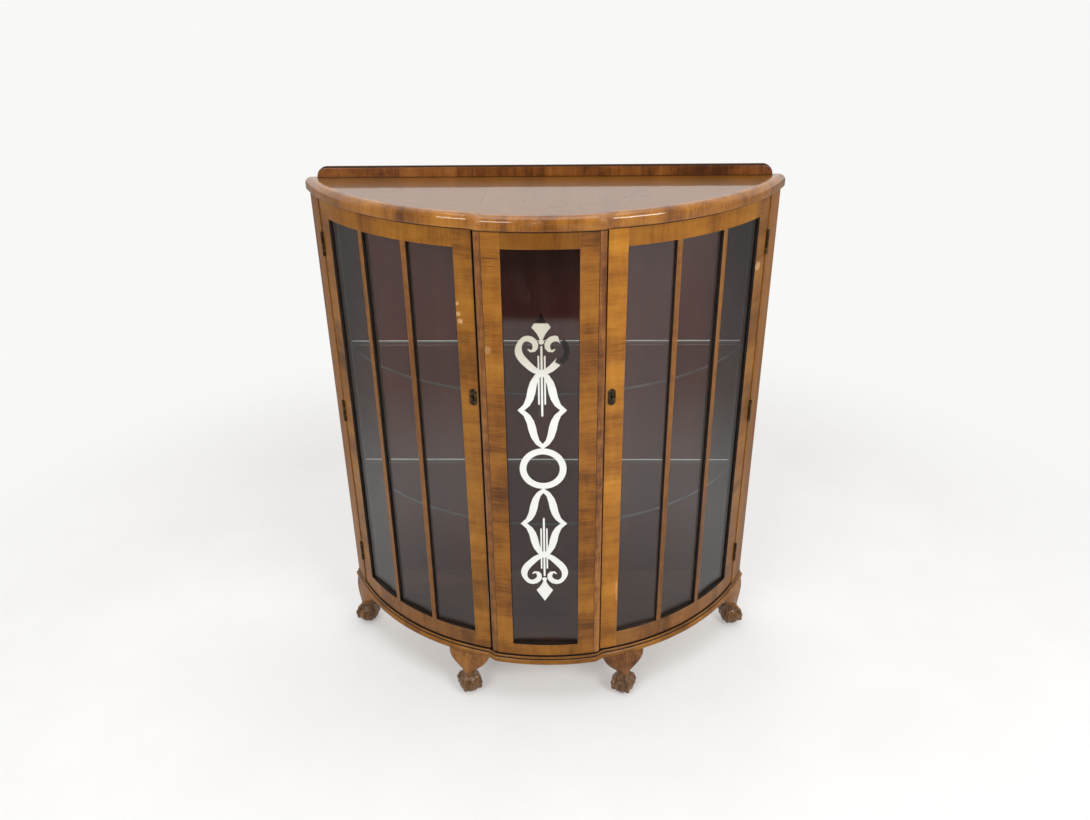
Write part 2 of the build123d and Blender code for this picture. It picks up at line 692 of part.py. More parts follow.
def ribbon(points, widths):
    """Draws a stroke along a smooth line, its width passing through the given values in turn."""
    edges = ([], [])
    for step, (point, along) in enumerate(smooth(points, RIBBON_STEPS)):
        place = step / RIBBON_STEPS * (len(widths) - 1)
        index = min(int(place), len(widths) - 2)
        width = widths[index] + (widths[index + 1] - widths[index]) * (place - index)
        across = Vector(-along.Y, along.X) * (width / 2)
        edges[0].append(point + across)
        edges[1].append(point - across)
    stroke(*edges)


def diamond(side, up):
    """Draws one half of a pointed diamond: its lower arm and, mirrored over its tip, its upper arm."""
    tip = DIAMOND_TIP[1]
    for turn in (1, -1):
        edges = []
        for points in ((*DIAMOND_OUTER, DIAMOND_TIP), DIAMOND_INNER):
            placed = [(side * x, up * (tip + turn * (y - tip))) for x, y in points]
            edges.append([point for point, along in smooth(placed, CURVE_STEPS)])
        stroke(*edges)


def reed(x, width, start, end, up):
    """Draws an upright reed with round ends."""
    with Locations((x, up * (start + end) / 2)):
        SlotOverall(end - start, width, rotation=90)


def finial(up):
    """Draws the kite and the bead at one end of the ornament."""
    with BuildLine() as border:
        for side in (1, -1):
            corner = (side * FINIAL_HALF, up * FINIAL_SHOULDER)
            neck = (side * FINIAL_NECK, up * FINIAL_FOOT)
            sag = (side * (FINIAL_HALF + FINIAL_NECK) * 0.4, up * (FINIAL_SHOULDER + FINIAL_FOOT) / 2)
            Line((0, up * FINIAL_TIP), corner)
            ThreePointArc(corner, sag, neck)
        Line((FINIAL_NECK, up * FINIAL_FOOT), (-FINIAL_NECK, up * FINIAL_FOOT))
    make_face(border.edges())
    with Locations((0, up * (FINIAL_FOOT - FINIAL_BEAD))):
        Circle(FINIAL_BEAD)


with BuildPart() as glass_ornament:
    glass_front = CENTRE_RADIUS - CENTRE_GLASS_SETBACK
    with BuildSketch(facing(glass_front, 0, CASE_Z + ORNAMENT_HEIGHT)):
        Circle(RING_OUTER)
        Circle(RING_INNER, mode=Mode.SUBTRACT)
        for up in (1, -1):
            finial(up)
            reed(0, REED_WIDTH, REED_START, REED_END, up)
            for side in (1, -1):
                reed(side * SIDE_REED_OFFSET, SIDE_REED_WIDTH, SIDE_REED_START, SIDE_REED_END, up)
                diamond(side, up)
                ribbon([(side * x, up * y) for x, y in SCROLL_RISE + SCROLL_CURL], SCROLL_WIDTHS)
        # The paint is worn away at the upper tip and on the upper right scroll
        with Locations((0, WORN_TIP)):
            Rectangle(2 * FINIAL_HALF, FINIAL_HALF * 2, align=(Align.CENTER, Align.MIN), mode=Mode.SUBTRACT)
        with BuildLine():
            Polyline(*WORN_SCROLL, close=True)
        make_face(mode=Mode.SUBTRACT)
    extrude(amount=ORNAMENT_THICKNESS)
write(glass_ornament.part, "glass_ornament")


# Legs: a short cabriole knee over a ball held by four talons
def ring(front, z, width, depth, square):
    """Draws one level of the leg at the bow's centre line; square is 2 for an oval and more for a box."""
    corners = []
    for side in range(LEG_SIDES):
        turn = 2 * math.pi * (side + 0.5) / LEG_SIDES
        across, along = math.sin(turn), math.cos(turn)
        x = math.copysign(abs(across) ** (2 / square), across) * width / 2
        y = math.copysign(abs(along) ** (2 / square), along) * depth / 2
        corners.append((x, y))
    with BuildSketch(Plane.XY.offset(z)) as level:
        with Locations(polar(front - depth / 2, 0)):
            Polygon(*corners)
    return level.sketch


def knee_levels():
    """The levels of the leg from the base down to the ankle, which runs on into the ball."""
    ankle = 2 * ANKLE_RADIUS
    ankle_front = BALL_CENTRE + ANKLE_RADIUS
    for step in range(LEG_STEPS + 1):
        share = step / LEG_STEPS
        bend = share**KNEE_CURVE
        swell = KNEE_SWELL * math.sin(math.pi * share)
        front = KNEE_FRONT + (ankle_front - KNEE_FRONT) * share + swell
        height = LEG_HEIGHT + (ANKLE_HEIGHT - LEG_HEIGHT) * share
        width = KNEE_WIDTH + (ankle - KNEE_WIDTH) * bend
        depth = KNEE_DEPTH + (ankle - KNEE_DEPTH) * bend
        yield ring(front, height, width, depth, KNEE_SQUARE + (ANKLE_SQUARE - KNEE_SQUARE) * bend)
    yield ring(ankle_front, BALL_RADIUS, ankle, ankle, ANKLE_SQUARE)


def talon(turn):
    """Adds a talon over the ball, with the nail that grips it."""
    heading = math.radians(turn)
    outward = Vector(math.sin(heading), -math.cos(heading), 0)
    across = outward.cross(Vector(0, 0, 1))
    sections = []
    for step in range(TALON_STEPS + 1):
        lean = math.radians(TALON_TOP + (TALON_END - TALON_TOP) * step / TALON_STEPS)
        rise = outward * math.sin(lean) + Vector(0, 0, math.cos(lean))
        along = outward * math.cos(lean) - Vector(0, 0, math.sin(lean))
        joint = Plane(origin=BALL_PLACE + rise * BALL_RADIUS, x_dir=across, z_dir=along)
        with BuildSketch(joint) as toe:
            RegularPolygon(TALON_RADIUS, 6)
        sections.append(toe.sketch)
    with BuildSketch(joint.offset(NAIL_LENGTH)) as nail:
        RegularPolygon(NAIL_TIP, 6)
    sections.append(nail.sketch)
    loft(sections, ruled=True)


BALL_PLACE = polar(BALL_CENTRE, 0, BALL_RADIUS - FOOT_FLAT)
with BuildPart() as straight_leg:
    loft(list(knee_levels()), ruled=True)
    with BuildSketch(Plane(origin=BALL_PLACE, x_dir=(1, 0, 0), z_dir=(0, -1, 0))):
        with BuildLine():
            rim = [math.pi * band / BALL_BANDS - math.pi / 2 for band in range(BALL_BANDS + 1)]
            points = [(BALL_RADIUS * math.cos(turn), BALL_RADIUS * math.sin(turn)) for turn in rim]
            Polyline(*points, close=True)
        make_face()
    revolve(axis=Axis(BALL_PLACE, (0, 0, 1)))
    for turn in TALON_TURNS:
        talon(turn)
    split(bisect_by=Plane.XY, keep=Keep.TOP)

for name, angle in LEG_ANGLES.items():
    with BuildPart() as leg:
        add(straight_leg.part.rotate(Axis((0, ARC_Y, 0), (0, 0, 1)), angle))
        add(leg_tenons.part, mode=Mode.SUBTRACT)
        split(bisect_by=Plane.XZ.offset(-BACK_Y), keep=Keep.TOP)
    write(leg.part, f"{name}_leg")
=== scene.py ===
"""Dresses the bow-fronted china cabinet: veneers, glass, carved legs and metalwork, on a pale floor."""
import math

import bmesh
import bpy
from mathutils import Matrix, Vector, noise


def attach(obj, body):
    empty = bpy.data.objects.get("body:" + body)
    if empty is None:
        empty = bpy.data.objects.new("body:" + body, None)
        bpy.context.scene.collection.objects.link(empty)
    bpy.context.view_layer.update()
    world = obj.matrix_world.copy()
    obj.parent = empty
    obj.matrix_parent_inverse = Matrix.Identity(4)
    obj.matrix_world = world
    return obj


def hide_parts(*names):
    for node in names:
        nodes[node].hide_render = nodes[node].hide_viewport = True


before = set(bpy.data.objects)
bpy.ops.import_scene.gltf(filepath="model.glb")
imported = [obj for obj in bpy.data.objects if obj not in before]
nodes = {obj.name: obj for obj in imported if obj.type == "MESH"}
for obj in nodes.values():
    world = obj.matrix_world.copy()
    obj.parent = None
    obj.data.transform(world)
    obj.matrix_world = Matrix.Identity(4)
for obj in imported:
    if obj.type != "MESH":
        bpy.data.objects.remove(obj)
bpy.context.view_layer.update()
scene = bpy.context.scene

# Plan of the cabinet as the solids have it, in metres and degrees
ARC_Y = 0.398
BACK_Y = 0.169
DOOR_RADIUS = 0.549
CENTRE_RADIUS = 0.558
CASE_Z = 0.138
TOP_Z = 1.138
DOOR_Z = (0.140, 1.136)
SIGHT = (0.183, 1.100)
CENTRE_SIGHT = (0.171, 1.104)
SHELF_TOPS = (0.477, 0.792)
LEG_HEIGHT = 0.117
SEAM_FORWARD, SEAM_GAP = 0.2848, 0.002
SEAM = math.degrees(math.acos(SEAM_FORWARD / DOOR_RADIUS))
HALF_GAP = math.degrees(SEAM_GAP / 2 / DOOR_RADIUS)
CENTRE_EDGE = 11.4


def polar(radius, angle, z=0.0):
    """A point at a radius and an angle in degrees on the bow front."""
    turn = math.radians(angle)
    return Vector((radius * math.sin(turn), ARC_Y - radius * math.cos(turn), z))


# Sockets of the colour Mix node and how far the grain shifts from piece to piece
MIX_FACTOR, MIX_FIRST, MIX_SECOND, MIX_RESULT = 0, 6, 7, 2
PIECE_SHIFT = 3.0


class Graph:
    """The nodes of a material or a world, with short calls for the ones that are used here."""

    def __init__(self, owner):
        self.owner = owner
        owner.use_nodes = True
        self.tree = owner.node_tree
        self.tree.nodes.clear()

    def node(self, kind, values=None, **settings):
        """Adds a node; values go to its inputs, and a socket there is linked."""
        made = self.tree.nodes.new("ShaderNode" + kind)
        for name, setting in settings.items():
            setattr(made, name, setting)
        for key, value in (values or {}).items():
            if isinstance(value, bpy.types.NodeSocket):
                self.tree.links.new(value, made.inputs[key])
            else:
                made.inputs[key].default_value = value
        return made

    def math(self, operation, first, second=0.0, clamp=False):
        return self.node("Math", {0: first, 1: second}, operation=operation, use_clamp=clamp).outputs[0]

    def plus(self, first, second):
        return self.math("ADD", first, second)

    def minus(self, first, second):
        return self.math("SUBTRACT", first, second)

    def times(self, first, second):
        return self.math("MULTIPLY", first, second)

    def line(self, value, slope, base):
        """A value times a slope, plus a base."""
        return self.plus(self.times(value, slope), base)

    def length(self, across, along):
        """The length of a flat vector."""
        return self.math("SQRT", self.plus(self.times(across, across), self.times(along, along)))

    def weigh(self, *parts):
        """The sum of values, each times its weight."""
        total = None
        for value, weight in parts:
            part = self.times(value, weight)
            total = part if total is None else self.plus(total, part)
        return total

    def combine(self, x, y, z):
        return self.node("CombineXYZ", {0: x, 1: y, 2: z}).outputs[0]

    def mix(self, factor, first, second):
        values = {MIX_FACTOR: factor, MIX_FIRST: first, MIX_SECOND: second}
        return self.node("Mix", values, data_type="RGBA").outputs[MIX_RESULT]

    def ramp(self, factor, stops):
        made = self.node("ValToRGB", {0: factor})
        places = made.color_ramp.elements
        while len(places) < len(stops):
            places.new(0.5)
        for element, (place, colour) in zip(places, stops):
            element.position = place
            element.color = (*colour, 1.0)
        return made.outputs[0]

    def rescale(self, value, low, high, out_low=0.0, out_high=1.0):
        """Maps low..high smoothly to out_low..out_high."""
        values = {0: value, 1: low, 2: high, 3: out_low, 4: out_high}
        return self.node("MapRange", values, interpolation_type="SMOOTHSTEP").outputs[0]

    def noise(self, place, scale, detail=2.0, roughness=0.5, distortion=0.0):
        values = {
            "Vector": place, "Scale": scale, "Detail": detail,
            "Roughness": roughness, "Distortion": distortion,
        }
        return self.node("TexNoise", values).outputs[0]

    def place(self):
        """The point's x, y and z in the cabinet's frame."""
        point = self.node("TexCoord").outputs["Object"]
        parts = self.node("SeparateXYZ", {0: point}).outputs
        return parts[0], parts[1], parts[2]

    def bow(self, x, y):
        """The point's run along the bow front and its radius."""
        depth = self.minus(ARC_Y, y)
        run = self.times(self.math("ARCTAN2", x, depth), DOOR_RADIUS)
        return run, self.length(x, depth)

    def shifted(self, value):
        """A coordinate moved by an amount that differs from piece to piece."""
        chance = self.node("ObjectInfo").outputs["Random"]
        return self.plus(value, self.times(chance, PIECE_SHIFT))

    def bump(self, height, distance, strength, normal=None):
        values = {"Height": height, "Distance": distance, "Strength": strength}
        if normal is not None:
            values["Normal"] = normal
        return self.node("Bump", values).outputs[0]

    def mix_shaders(self, share, first, second):
        return self.node("MixShader", {0: share, 1: first, 2: second}).outputs[0]

    def finish(self, shader, output="OutputMaterial"):
        """Links the shader to the output and gives back what the nodes belong to."""
        self.node(output, {"Surface": shader})
        return self.owner

    def principled(self, values):
        """Finishes with a Principled shader."""
        return self.finish(self.node("BsdfPrincipled", values).outputs[0])


def material_graph(name):
    return Graph(bpy.data.materials.new(name))


SPOT_RAGGED = 1.3
SPOT_EDGE = (0.9, 1.1)


def spots(graph, run, z, marks, edge):
    """A mask of small ragged patches: each mark is (run, z, half width, half height), and may lean."""
    ragged = graph.times(graph.minus(edge, 0.5), SPOT_RAGGED)
    total = None
    for at_run, at_z, wide, tall, *lean in marks:
        rise = graph.minus(z, at_z)
        aside = graph.minus(run, at_run)
        if lean:
            aside = graph.minus(aside, graph.times(rise, lean[0]))
        far = graph.length(graph.math("DIVIDE", aside, wide), graph.math("DIVIDE", rise, tall))
        mask = graph.rescale(graph.plus(far, ragged), *SPOT_EDGE, 1.0, 0.0)
        total = mask if total is None else graph.math("MAXIMUM", total, mask)
    return total


# Marks in the veneer of the front, by run along the bow and height
CHIPS = (
    (-0.1648, 0.9890, 0.0054, 0.0038), (-0.1625, 0.9680, 0.0048, 0.0050),
    (-0.1590, 0.9530, 0.0056, 0.0050), (0.5290, 0.9915, 0.0130, 0.0090),
    (0.1620, 0.3120, 0.0012, 0.0200), (0.1630, 0.2850, 0.0010, 0.0120),
    (0.1240, 0.3700, 0.0010, 0.0150), (-0.1290, 0.2850, 0.0010, 0.0200),
)
FADED = ((-0.1040, 0.9020, 0.0072, 0.0080),)
CRACKS = ((-0.0910, 1.0858, 0.0190, 0.0007), (-0.0915, 1.0705, 0.0170, 0.0005))
# Crazed lacquer on the top's edge, beside its steps and at the middle
CRAZED = (
    (-0.1120, 1.1550, 0.0080, 0.0160), (-0.0080, 1.1530, 0.0200, 0.0060),
    (0.1180, 1.1600, 0.0120, 0.0140),
)
# Marks on the top, by x and y
TOP_SEAMS = ((-0.1118, -0.0010, 0.0009, 0.1000, 0.019), (0.1767, -0.0180, 0.0008, 0.0800, 0.209))
TOP_SCUFFS = (
    (-0.0317, -0.0575, 0.0030, 0.0060), (-0.0200, -0.0540, 0.0016, 0.0040),
    (0.0180, -0.0884, 0.0025, 0.0060), (0.0260, -0.0960, 0.0040, 0.0030),
    (0.0480, -0.0800, 0.0018, 0.0050), (0.0735, -0.1041, 0.0030, 0.0050),
    (0.1126, -0.0303, 0.0016, 0.0060), (0.1240, -0.0420, 0.0030, 0.0030),
    (0.1607, -0.0236, 0.0025, 0.0080), (0.1760, -0.0150, 0.0018, 0.0100, 0.5),
    (0.1976, -0.0167, 0.0040, 0.0060), (0.2060, -0.0210, 0.0020, 0.0090, -0.4),
)
WORN = (0.60, 0.34, 0.15, 1.0)
DIRT = (0.030, 0.012, 0.005, 1.0)
# Rows of marks, their colour and how much they cover
FRONT_MARKS = ((CHIPS, WORN, 0.80), (FADED, WORN, 0.35), (CRACKS, DIRT, 0.75))
TOP_MARKS = ((TOP_SEAMS, DIRT, 0.55), (TOP_SCUFFS, DIRT, 0.65))
# Dark lines of the front, as runs along the bow: the dark joint of stile and post, and painted shade in the
# gap of post and door; painted shade also runs along the doors' top and bottom ends
JOINT_RUN = DOOR_RADIUS * math.radians(CENTRE_EDGE)
GAP_RUN = JOINT_RUN + 0.017
JOINT_HALF = (0.0004, 0.0009)
GAP_HALF, LEFT_GAP_EXTRA = 0.0013, 0.0017
GAP_EDGE = (-0.0005, 0.0004)
END_LINE = (0.0004, 0.0016)
JOINT_COVER, END_COVER = 0.8, 0.9


def seam_dirt_and_gap_shade(graph, run, z):
    """A mask of the dark joint of stile and post, and of painted shade in the gaps beside, over and under the
    doors; the left gap's shade is the wider.
    """
    aside = graph.math("ABSOLUTE", run)
    from_joint = graph.math("ABSOLUTE", graph.minus(aside, JOINT_RUN))
    joint = graph.rescale(from_joint, *JOINT_HALF, JOINT_COVER, 0.0)
    left = graph.math("LESS_THAN", run, 0.0)
    half_gap = graph.line(left, LEFT_GAP_EXTRA, GAP_HALF)
    from_gap = graph.minus(graph.math("ABSOLUTE", graph.minus(aside, GAP_RUN)), half_gap)
    gap = graph.rescale(from_gap, *GAP_EDGE, 1.0, 0.0)
    bottom, top = DOOR_Z
    foot = graph.rescale(z, bottom + END_LINE[0], bottom + END_LINE[1], END_COVER, 0.0)
    head = graph.rescale(z, top - END_LINE[1], top - END_LINE[0], 0.0, END_COVER)
    return graph.math("MAXIMUM", graph.math("MAXIMUM", joint, gap), graph.math("MAXIMUM", foot, head))


# Walnut: how far its grain and its cross figure are drawn out, its tones, what darkens and wears it, the
# painted highlight on its arrises and the painted shade in its gaps and creases
GRAIN, CROSS_FIGURE = 0.075, 0.3
WALNUT_TONES = (
    (0.36, (0.095, 0.032, 0.004)), (0.44, (0.190, 0.068, 0.006)), (0.50, (0.275, 0.104, 0.009)),
    (0.57, (0.355, 0.144, 0.012)), (0.66, (0.455, 0.195, 0.020)),
)
STREAK, STREAK_COVER, DASH_COVER = (0.085, 0.030, 0.007, 1.0), 0.16, 0.26
PORE, PORE_COVER = (0.050, 0.018, 0.005, 1.0), 0.25
# Pale arrises: partly wear, partly a painted highlight
RUBBED_AND_HIGHLIGHT, RUB_AND_HIGHLIGHT_COVER = (0.46, 0.27, 0.12, 1.0), 0.55
# Dark joints, and painted shade in the gaps round the doors
JOINT_DARK_AND_GAP_SHADE = (0.006, 0.003, 0.002, 1.0)
# A band of painted shade along a piece's foot, in the crease where it meets another
FOOT_SHADE_LINE, FOOT_SHADE_COVER = 0.0014, 0.85
ARRIS_RADIUS = 0.0011
LACQUER_IOR = 1.48
PLAIN_HUE = (1.0, 1.0, 1.0)


def walnut(name, grain, light=1.0, contrast=0.85, hue=PLAIN_HUE, coat=0.32, gloss=0.10, marks=(),
           seams=False, joint=None, crazed=()):
    """Lacquered figured walnut; grain is up, round (along the bow) or deep (front to back)."""
    graph = material_graph(name)
    x, y, z = graph.place()
    run, radius = graph.bow(x, y)
    solid = graph.combine(run, radius, z)
    flat = (run, z)
    if grain == "up":
        drawn = graph.combine(graph.shifted(run), radius, graph.times(z, GRAIN))
        crossed = graph.combine(graph.times(run, CROSS_FIGURE), radius, z)
    elif grain == "round":
        drawn = graph.combine(graph.times(run, GRAIN), radius, graph.shifted(z))
        crossed = graph.combine(run, radius, graph.times(z, CROSS_FIGURE))
    else:
        drawn = graph.combine(graph.shifted(x), graph.times(y, GRAIN), z)
        crossed = graph.combine(graph.times(x, CROSS_FIGURE), y, z)
        flat = (x, y)
    broad = graph.noise(drawn, scale=11.0, distortion=0.4)
    bands = graph.noise(drawn, scale=48.0, detail=4.0, roughness=0.6, distortion=0.4)
    lines = graph.noise(drawn, scale=420.0, detail=3.0, roughness=0.6)
    pores = graph.noise(drawn, scale=1500.0)
    ripple = graph.noise(crossed, scale=60.0)
    ragged = graph.noise(solid, scale=330.0, detail=3.0, roughness=0.6)
    wavy = graph.noise(solid, scale=28.0)
    figure = graph.weigh((broad, 0.40), (bands, 0.22), (lines, 0.24), (ripple, 0.14))
    stops = []
    for place, tone in WALNUT_TONES:
        spread = min(max(0.5 + (place - 0.5) / contrast, 0.0), 1.0)
        stops.append((spread, tuple(light * part * shift for part, shift in zip(tone, hue))))
    colour = graph.ramp(figure, stops)
    colour = graph.mix(graph.rescale(bands, 0.60, 0.74, out_high=STREAK_COVER * contrast), colour, STREAK)
    colour = graph.mix(graph.rescale(lines, 0.57, 0.68, out_high=DASH_COVER * contrast), colour, STREAK)
    colour = graph.mix(graph.rescale(pores, 0.60, 0.72, out_high=PORE_COVER), colour, PORE)
    # The arrises are lightened by wear and by a painted highlight
    rounded = graph.node("Bevel", {"Radius": ARRIS_RADIUS}, samples=4).outputs[0]
    flat_normal = graph.node("NewGeometry").outputs["Normal"]
    agree = graph.node("VectorMath", {0: rounded, 1: flat_normal}, operation="DOT_PRODUCT").outputs["Value"]
    arris = graph.rescale(agree, 0.995, 0.80, out_high=RUB_AND_HIGHLIGHT_COVER)
    colour = graph.mix(graph.times(arris, graph.rescale(ripple, 0.36, 0.58)), colour, RUBBED_AND_HIGHLIGHT)
    for rows, tone, cover in marks:
        colour = graph.mix(graph.times(spots(graph, *flat, rows, ragged), cover), colour, tone)
    # Dark joints, and painted shade in the gaps beside, over and under the doors
    if seams:
        colour = graph.mix(seam_dirt_and_gap_shade(graph, run, z), colour, JOINT_DARK_AND_GAP_SHADE)
    # Painted shade along the foot, in the crease where the piece meets another
    if joint:
        colour = graph.mix(graph.rescale(z, joint, joint + FOOT_SHADE_LINE, FOOT_SHADE_COVER, 0.0), colour, DIRT)
    normal = graph.bump(wavy, distance=0.0006, strength=0.30, normal=rounded)
    normal = graph.bump(graph.plus(lines, pores), distance=0.00008, strength=0.5, normal=normal)
    lacquer = graph.bump(wavy, distance=0.0006, strength=0.25, normal=rounded)
    if crazed:
        crackle = graph.noise(solid, scale=340.0)
        crazing = spots(graph, run, z, crazed, ragged)
        lacquer = graph.bump(crackle, distance=0.0016, strength=crazing, normal=lacquer)
    return graph.principled({
        "Base Color": colour, "Roughness": graph.line(ripple, 0.14, 0.30), "Normal": normal,
        "Specular IOR Level": 0.2, "Coat Weight": coat, "Coat Roughness": gloss,
        "Coat IOR": LACQUER_IOR, "Coat Normal": lacquer,
    })


STAIN_GRAIN = 0.06


def stain(name, dark, pale, rough, grain_up=True, shine=0.5):
    """Stained plain wood with soft streaks, for hidden and inner faces."""
    graph = material_graph(name)
    x, y, z = graph.place()
    if grain_up:
        drawn = graph.combine(x, y, graph.times(z, STAIN_GRAIN))
    else:
        drawn = graph.combine(graph.times(x, STAIN_GRAIN), y, z)
    broad = graph.noise(drawn, scale=11.0, detail=3.0, roughness=0.55, distortion=0.4)
    lines = graph.noise(drawn, scale=240.0, detail=4.0, roughness=0.6)
    figure = graph.weigh((broad, 0.65), (lines, 0.35))
    return graph.principled({
        "Base Color": graph.ramp(figure, ((0.36, dark), (0.64, pale))),
        "Roughness": graph.line(lines, 0.2, rough),
        "Normal": graph.bump(lines, distance=0.0001, strength=0.5),
        "Specular IOR Level": shine,
    })


PLY_TONES = ((0.30, (0.175, 0.096, 0.044)), (0.50, (0.300, 0.178, 0.088)), (0.70, (0.400, 0.255, 0.140)))
RING_COUNT = 120.0


def ply(name):
    """Unfinished plywood: flamed growth rings, fine fibres and an uneven coat of dust."""
    graph = material_graph(name)
    x, y, z = graph.place()
    flamed = graph.combine(x, graph.times(y, 0.3), graph.times(z, 0.16))
    rise = graph.noise(flamed, scale=3.6, roughness=0.45, distortion=0.3)
    rings = graph.math("SINE", graph.times(rise, RING_COUNT))
    drawn = graph.combine(x, y, graph.times(z, 0.03))
    fibres = graph.noise(drawn, scale=420.0, detail=4.0, roughness=0.65)
    dust = graph.noise(graph.combine(x, y, z), scale=7.0, detail=4.0, roughness=0.6)
    figure = graph.weigh((rings, 0.045), (fibres, 0.62), (dust, 0.36))
    return graph.principled({
        "Base Color": graph.ramp(figure, PLY_TONES),
        "Roughness": graph.line(dust, 0.25, 0.5),
        "Normal": graph.bump(fibres, distance=0.0003, strength=0.6),
        "Specular IOR Level": 0.25,
    })


# Ghosts of lost paint on the centre glass, by x and z: the ornament's tip and its upper right scroll
GHOSTS = (
    (0.0, 0.9600, 0.0090, 0.0032), (0.0, 0.9645, 0.0052, 0.0040), (0.0, 0.9695, 0.0022, 0.0045),
    (0.0440, 0.9150, 0.0052, 0.0062), (0.0476, 0.9073, 0.0055, 0.0075), (0.0490, 0.8968, 0.0055, 0.0080),
    (0.0466, 0.8862, 0.0055, 0.0070), (0.0410, 0.8785, 0.0060, 0.0055),
)
# Scuffs on the centre glass, by x and z
SCUFFS = (
    (-0.0390, 1.0330, 0.0150, 0.0380, -0.15), (-0.0480, 0.2620, 0.0060, 0.0026),
    (0.0330, 0.2920, 0.0060, 0.0080),
)
# Share of light mirrored by a face of glass: straight on, and how much more at a slant
MIRROR, MIRROR_SLANT, SLANT_POWER = 0.053, 0.92, 5.0
GHOST, GHOST_COVER = (0.10, 0.10, 0.09, 1.0), 0.62
DUST = (0.72, 0.73, 0.71, 1.0)
SCUFF_COVER = 0.035
WHITE = (1.0, 1.0, 1.0, 1.0)


def glass(name, tint, film, ghosts=(), scuffs=()):
    """Clear sheet glass: it mirrors more at a slant, waves slightly and carries a faint film and scuffs."""
    graph = material_graph(name)
    x, y, z = graph.place()
    solid = graph.combine(x, y, z)
    wave = graph.noise(graph.combine(x, y, graph.times(z, 0.5)), scale=5.0, detail=1.0, roughness=0.4)
    normal = graph.bump(wave, distance=0.0008, strength=0.05)
    facing = graph.node("LayerWeight", {"Blend": 0.5}).outputs["Facing"]
    mirror = graph.line(graph.math("POWER", facing, SLANT_POWER), MIRROR_SLANT, MIRROR)
    through = (*tint, 1.0)
    if ghosts:
        ghost = spots(graph, x, z, ghosts, graph.noise(solid, scale=260.0))
        through = graph.mix(graph.times(ghost, GHOST_COVER), through, GHOST)
    smear = graph.noise(solid, scale=22.0, detail=4.0, roughness=0.65)
    cover = graph.rescale(smear, 0.38, 0.72, out_high=film)
    if scuffs:
        drawn = graph.combine(x, y, graph.times(z, 0.4))
        scratch = graph.rescale(graph.noise(drawn, scale=330.0, detail=4.0, roughness=0.7), 0.50, 0.72)
        scuff = spots(graph, x, z, scuffs, graph.noise(solid, scale=60.0, detail=4.0, roughness=0.7))
        cover = graph.plus(cover, graph.times(graph.times(scuff, scratch), SCUFF_COVER))
    clear = graph.node("BsdfTransparent", {"Color": through}).outputs[0]
    gloss = graph.node("BsdfGlossy", {"Color": WHITE, "Roughness": 0.012, "Normal": normal}).outputs[0]
    dust = graph.node("BsdfDiffuse", {"Color": DUST}).outputs[0]
    return graph.finish(graph.mix_shaders(mirror, graph.mix_shaders(cover, clear, dust), gloss))


def metal(name, dark, pale, rough):
    """Aged metal: darkened, with brighter rubbed patches."""
    graph = material_graph(name)
    point = graph.node("TexCoord").outputs["Object"]
    cloud = graph.noise(point, scale=160.0, detail=5.0, roughness=0.65)
    fine = graph.noise(point, scale=1400.0, detail=3.0, roughness=0.6)
    return graph.principled({
        "Base Color": graph.mix(graph.rescale(cloud, 0.45, 0.70), (*dark, 1.0), (*pale, 1.0)),
        "Metallic": 1.0,
        "Roughness": graph.line(cloud, 0.25, rough),
        "Normal": graph.bump(fine, distance=0.00005, strength=0.6),
    })


FRESH_PAINT, AGED_PAINT = (0.86, 0.86, 0.83, 1.0), (0.60, 0.57, 0.47, 1.0)
AGED_Z = (0.800, 0.905)
PIN_HOLE, PIN_HOLE_COVER = (0.42, 0.38, 0.33, 1.0), 0.5


def paint(name):
    """White paint on the glass, yellowed and thin at the top, with tiny pin holes."""
    graph = material_graph(name)
    x, y, z = graph.place()
    solid = graph.combine(x, y, z)
    colour = graph.mix(graph.rescale(z, *AGED_Z), FRESH_PAINT, AGED_PAINT)
    worn = graph.noise(solid, scale=900.0, detail=3.0, roughness=0.6)
    colour = graph.mix(graph.rescale(worn, 0.66, 0.74, out_high=PIN_HOLE_COVER), colour, PIN_HOLE)
    cloud = graph.noise(solid, scale=60.0, detail=3.0)
    return graph.principled({
        "Base Color": colour,
        "Roughness": graph.line(cloud, 0.2, 0.38),
        "Normal": graph.bump(cloud, distance=0.0001, strength=0.4),
    })


# The painted highlight along a shelf's top arris: its depth, and the depth over which it fades
ARRIS_DEPTH, ARRIS_FADE = 0.0010, 0.0009


def glowing_shelf_edge(name, bright, dull, glow):
    """The ground edge of a glass shelf: a painted highlight along its top arris, and a glow of painted light,
    though it is no lamp.
    """
    graph = material_graph(name)
    x, y, z = graph.place()
    solid = graph.combine(x, y, z)
    cloud = graph.noise(solid, scale=90.0, detail=3.0, roughness=0.6)
    from_lower, from_upper = (graph.math("ABSOLUTE", graph.minus(z, top)) for top in SHELF_TOPS)
    below = graph.math("MINIMUM", from_lower, from_upper)
    arris = graph.rescale(below, ARRIS_DEPTH, ARRIS_DEPTH + ARRIS_FADE, 1.0, 0.0)
    patches = graph.rescale(graph.noise(solid, scale=14.0), 0.30, 0.55, 0.45, 1.0)
    # The painted highlight on the arris, in patches
    tone = graph.mix(graph.times(arris, patches), (*dull, 1.0), (*bright, 1.0))
    tone = graph.mix(graph.times(cloud, 0.3), tone, (*dull, 1.0))
    # A painted glow: the edge sends out its own colour as light
    return graph.principled({
        "Base Color": tone, "Roughness": 0.3, "Emission Color": tone, "Emission Strength": glow,
        "Normal": graph.bump(graph.noise(solid, scale=700.0), distance=0.0001, strength=0.5),
    })


CARVED_TONES = ((0.36, (0.055, 0.023, 0.008)), (0.52, (0.160, 0.072, 0.022)), (0.68, (0.270, 0.130, 0.046)))
# Painted shade in the hollows; wear and a painted highlight on the high places
HOLLOW_SHADE = (0.012, 0.006, 0.004, 1.0)
HIGH_WEAR_AND_HIGHLIGHT, HIGH_WEAR_AND_HIGHLIGHT_COVER = (0.42, 0.23, 0.085, 1.0), 0.60


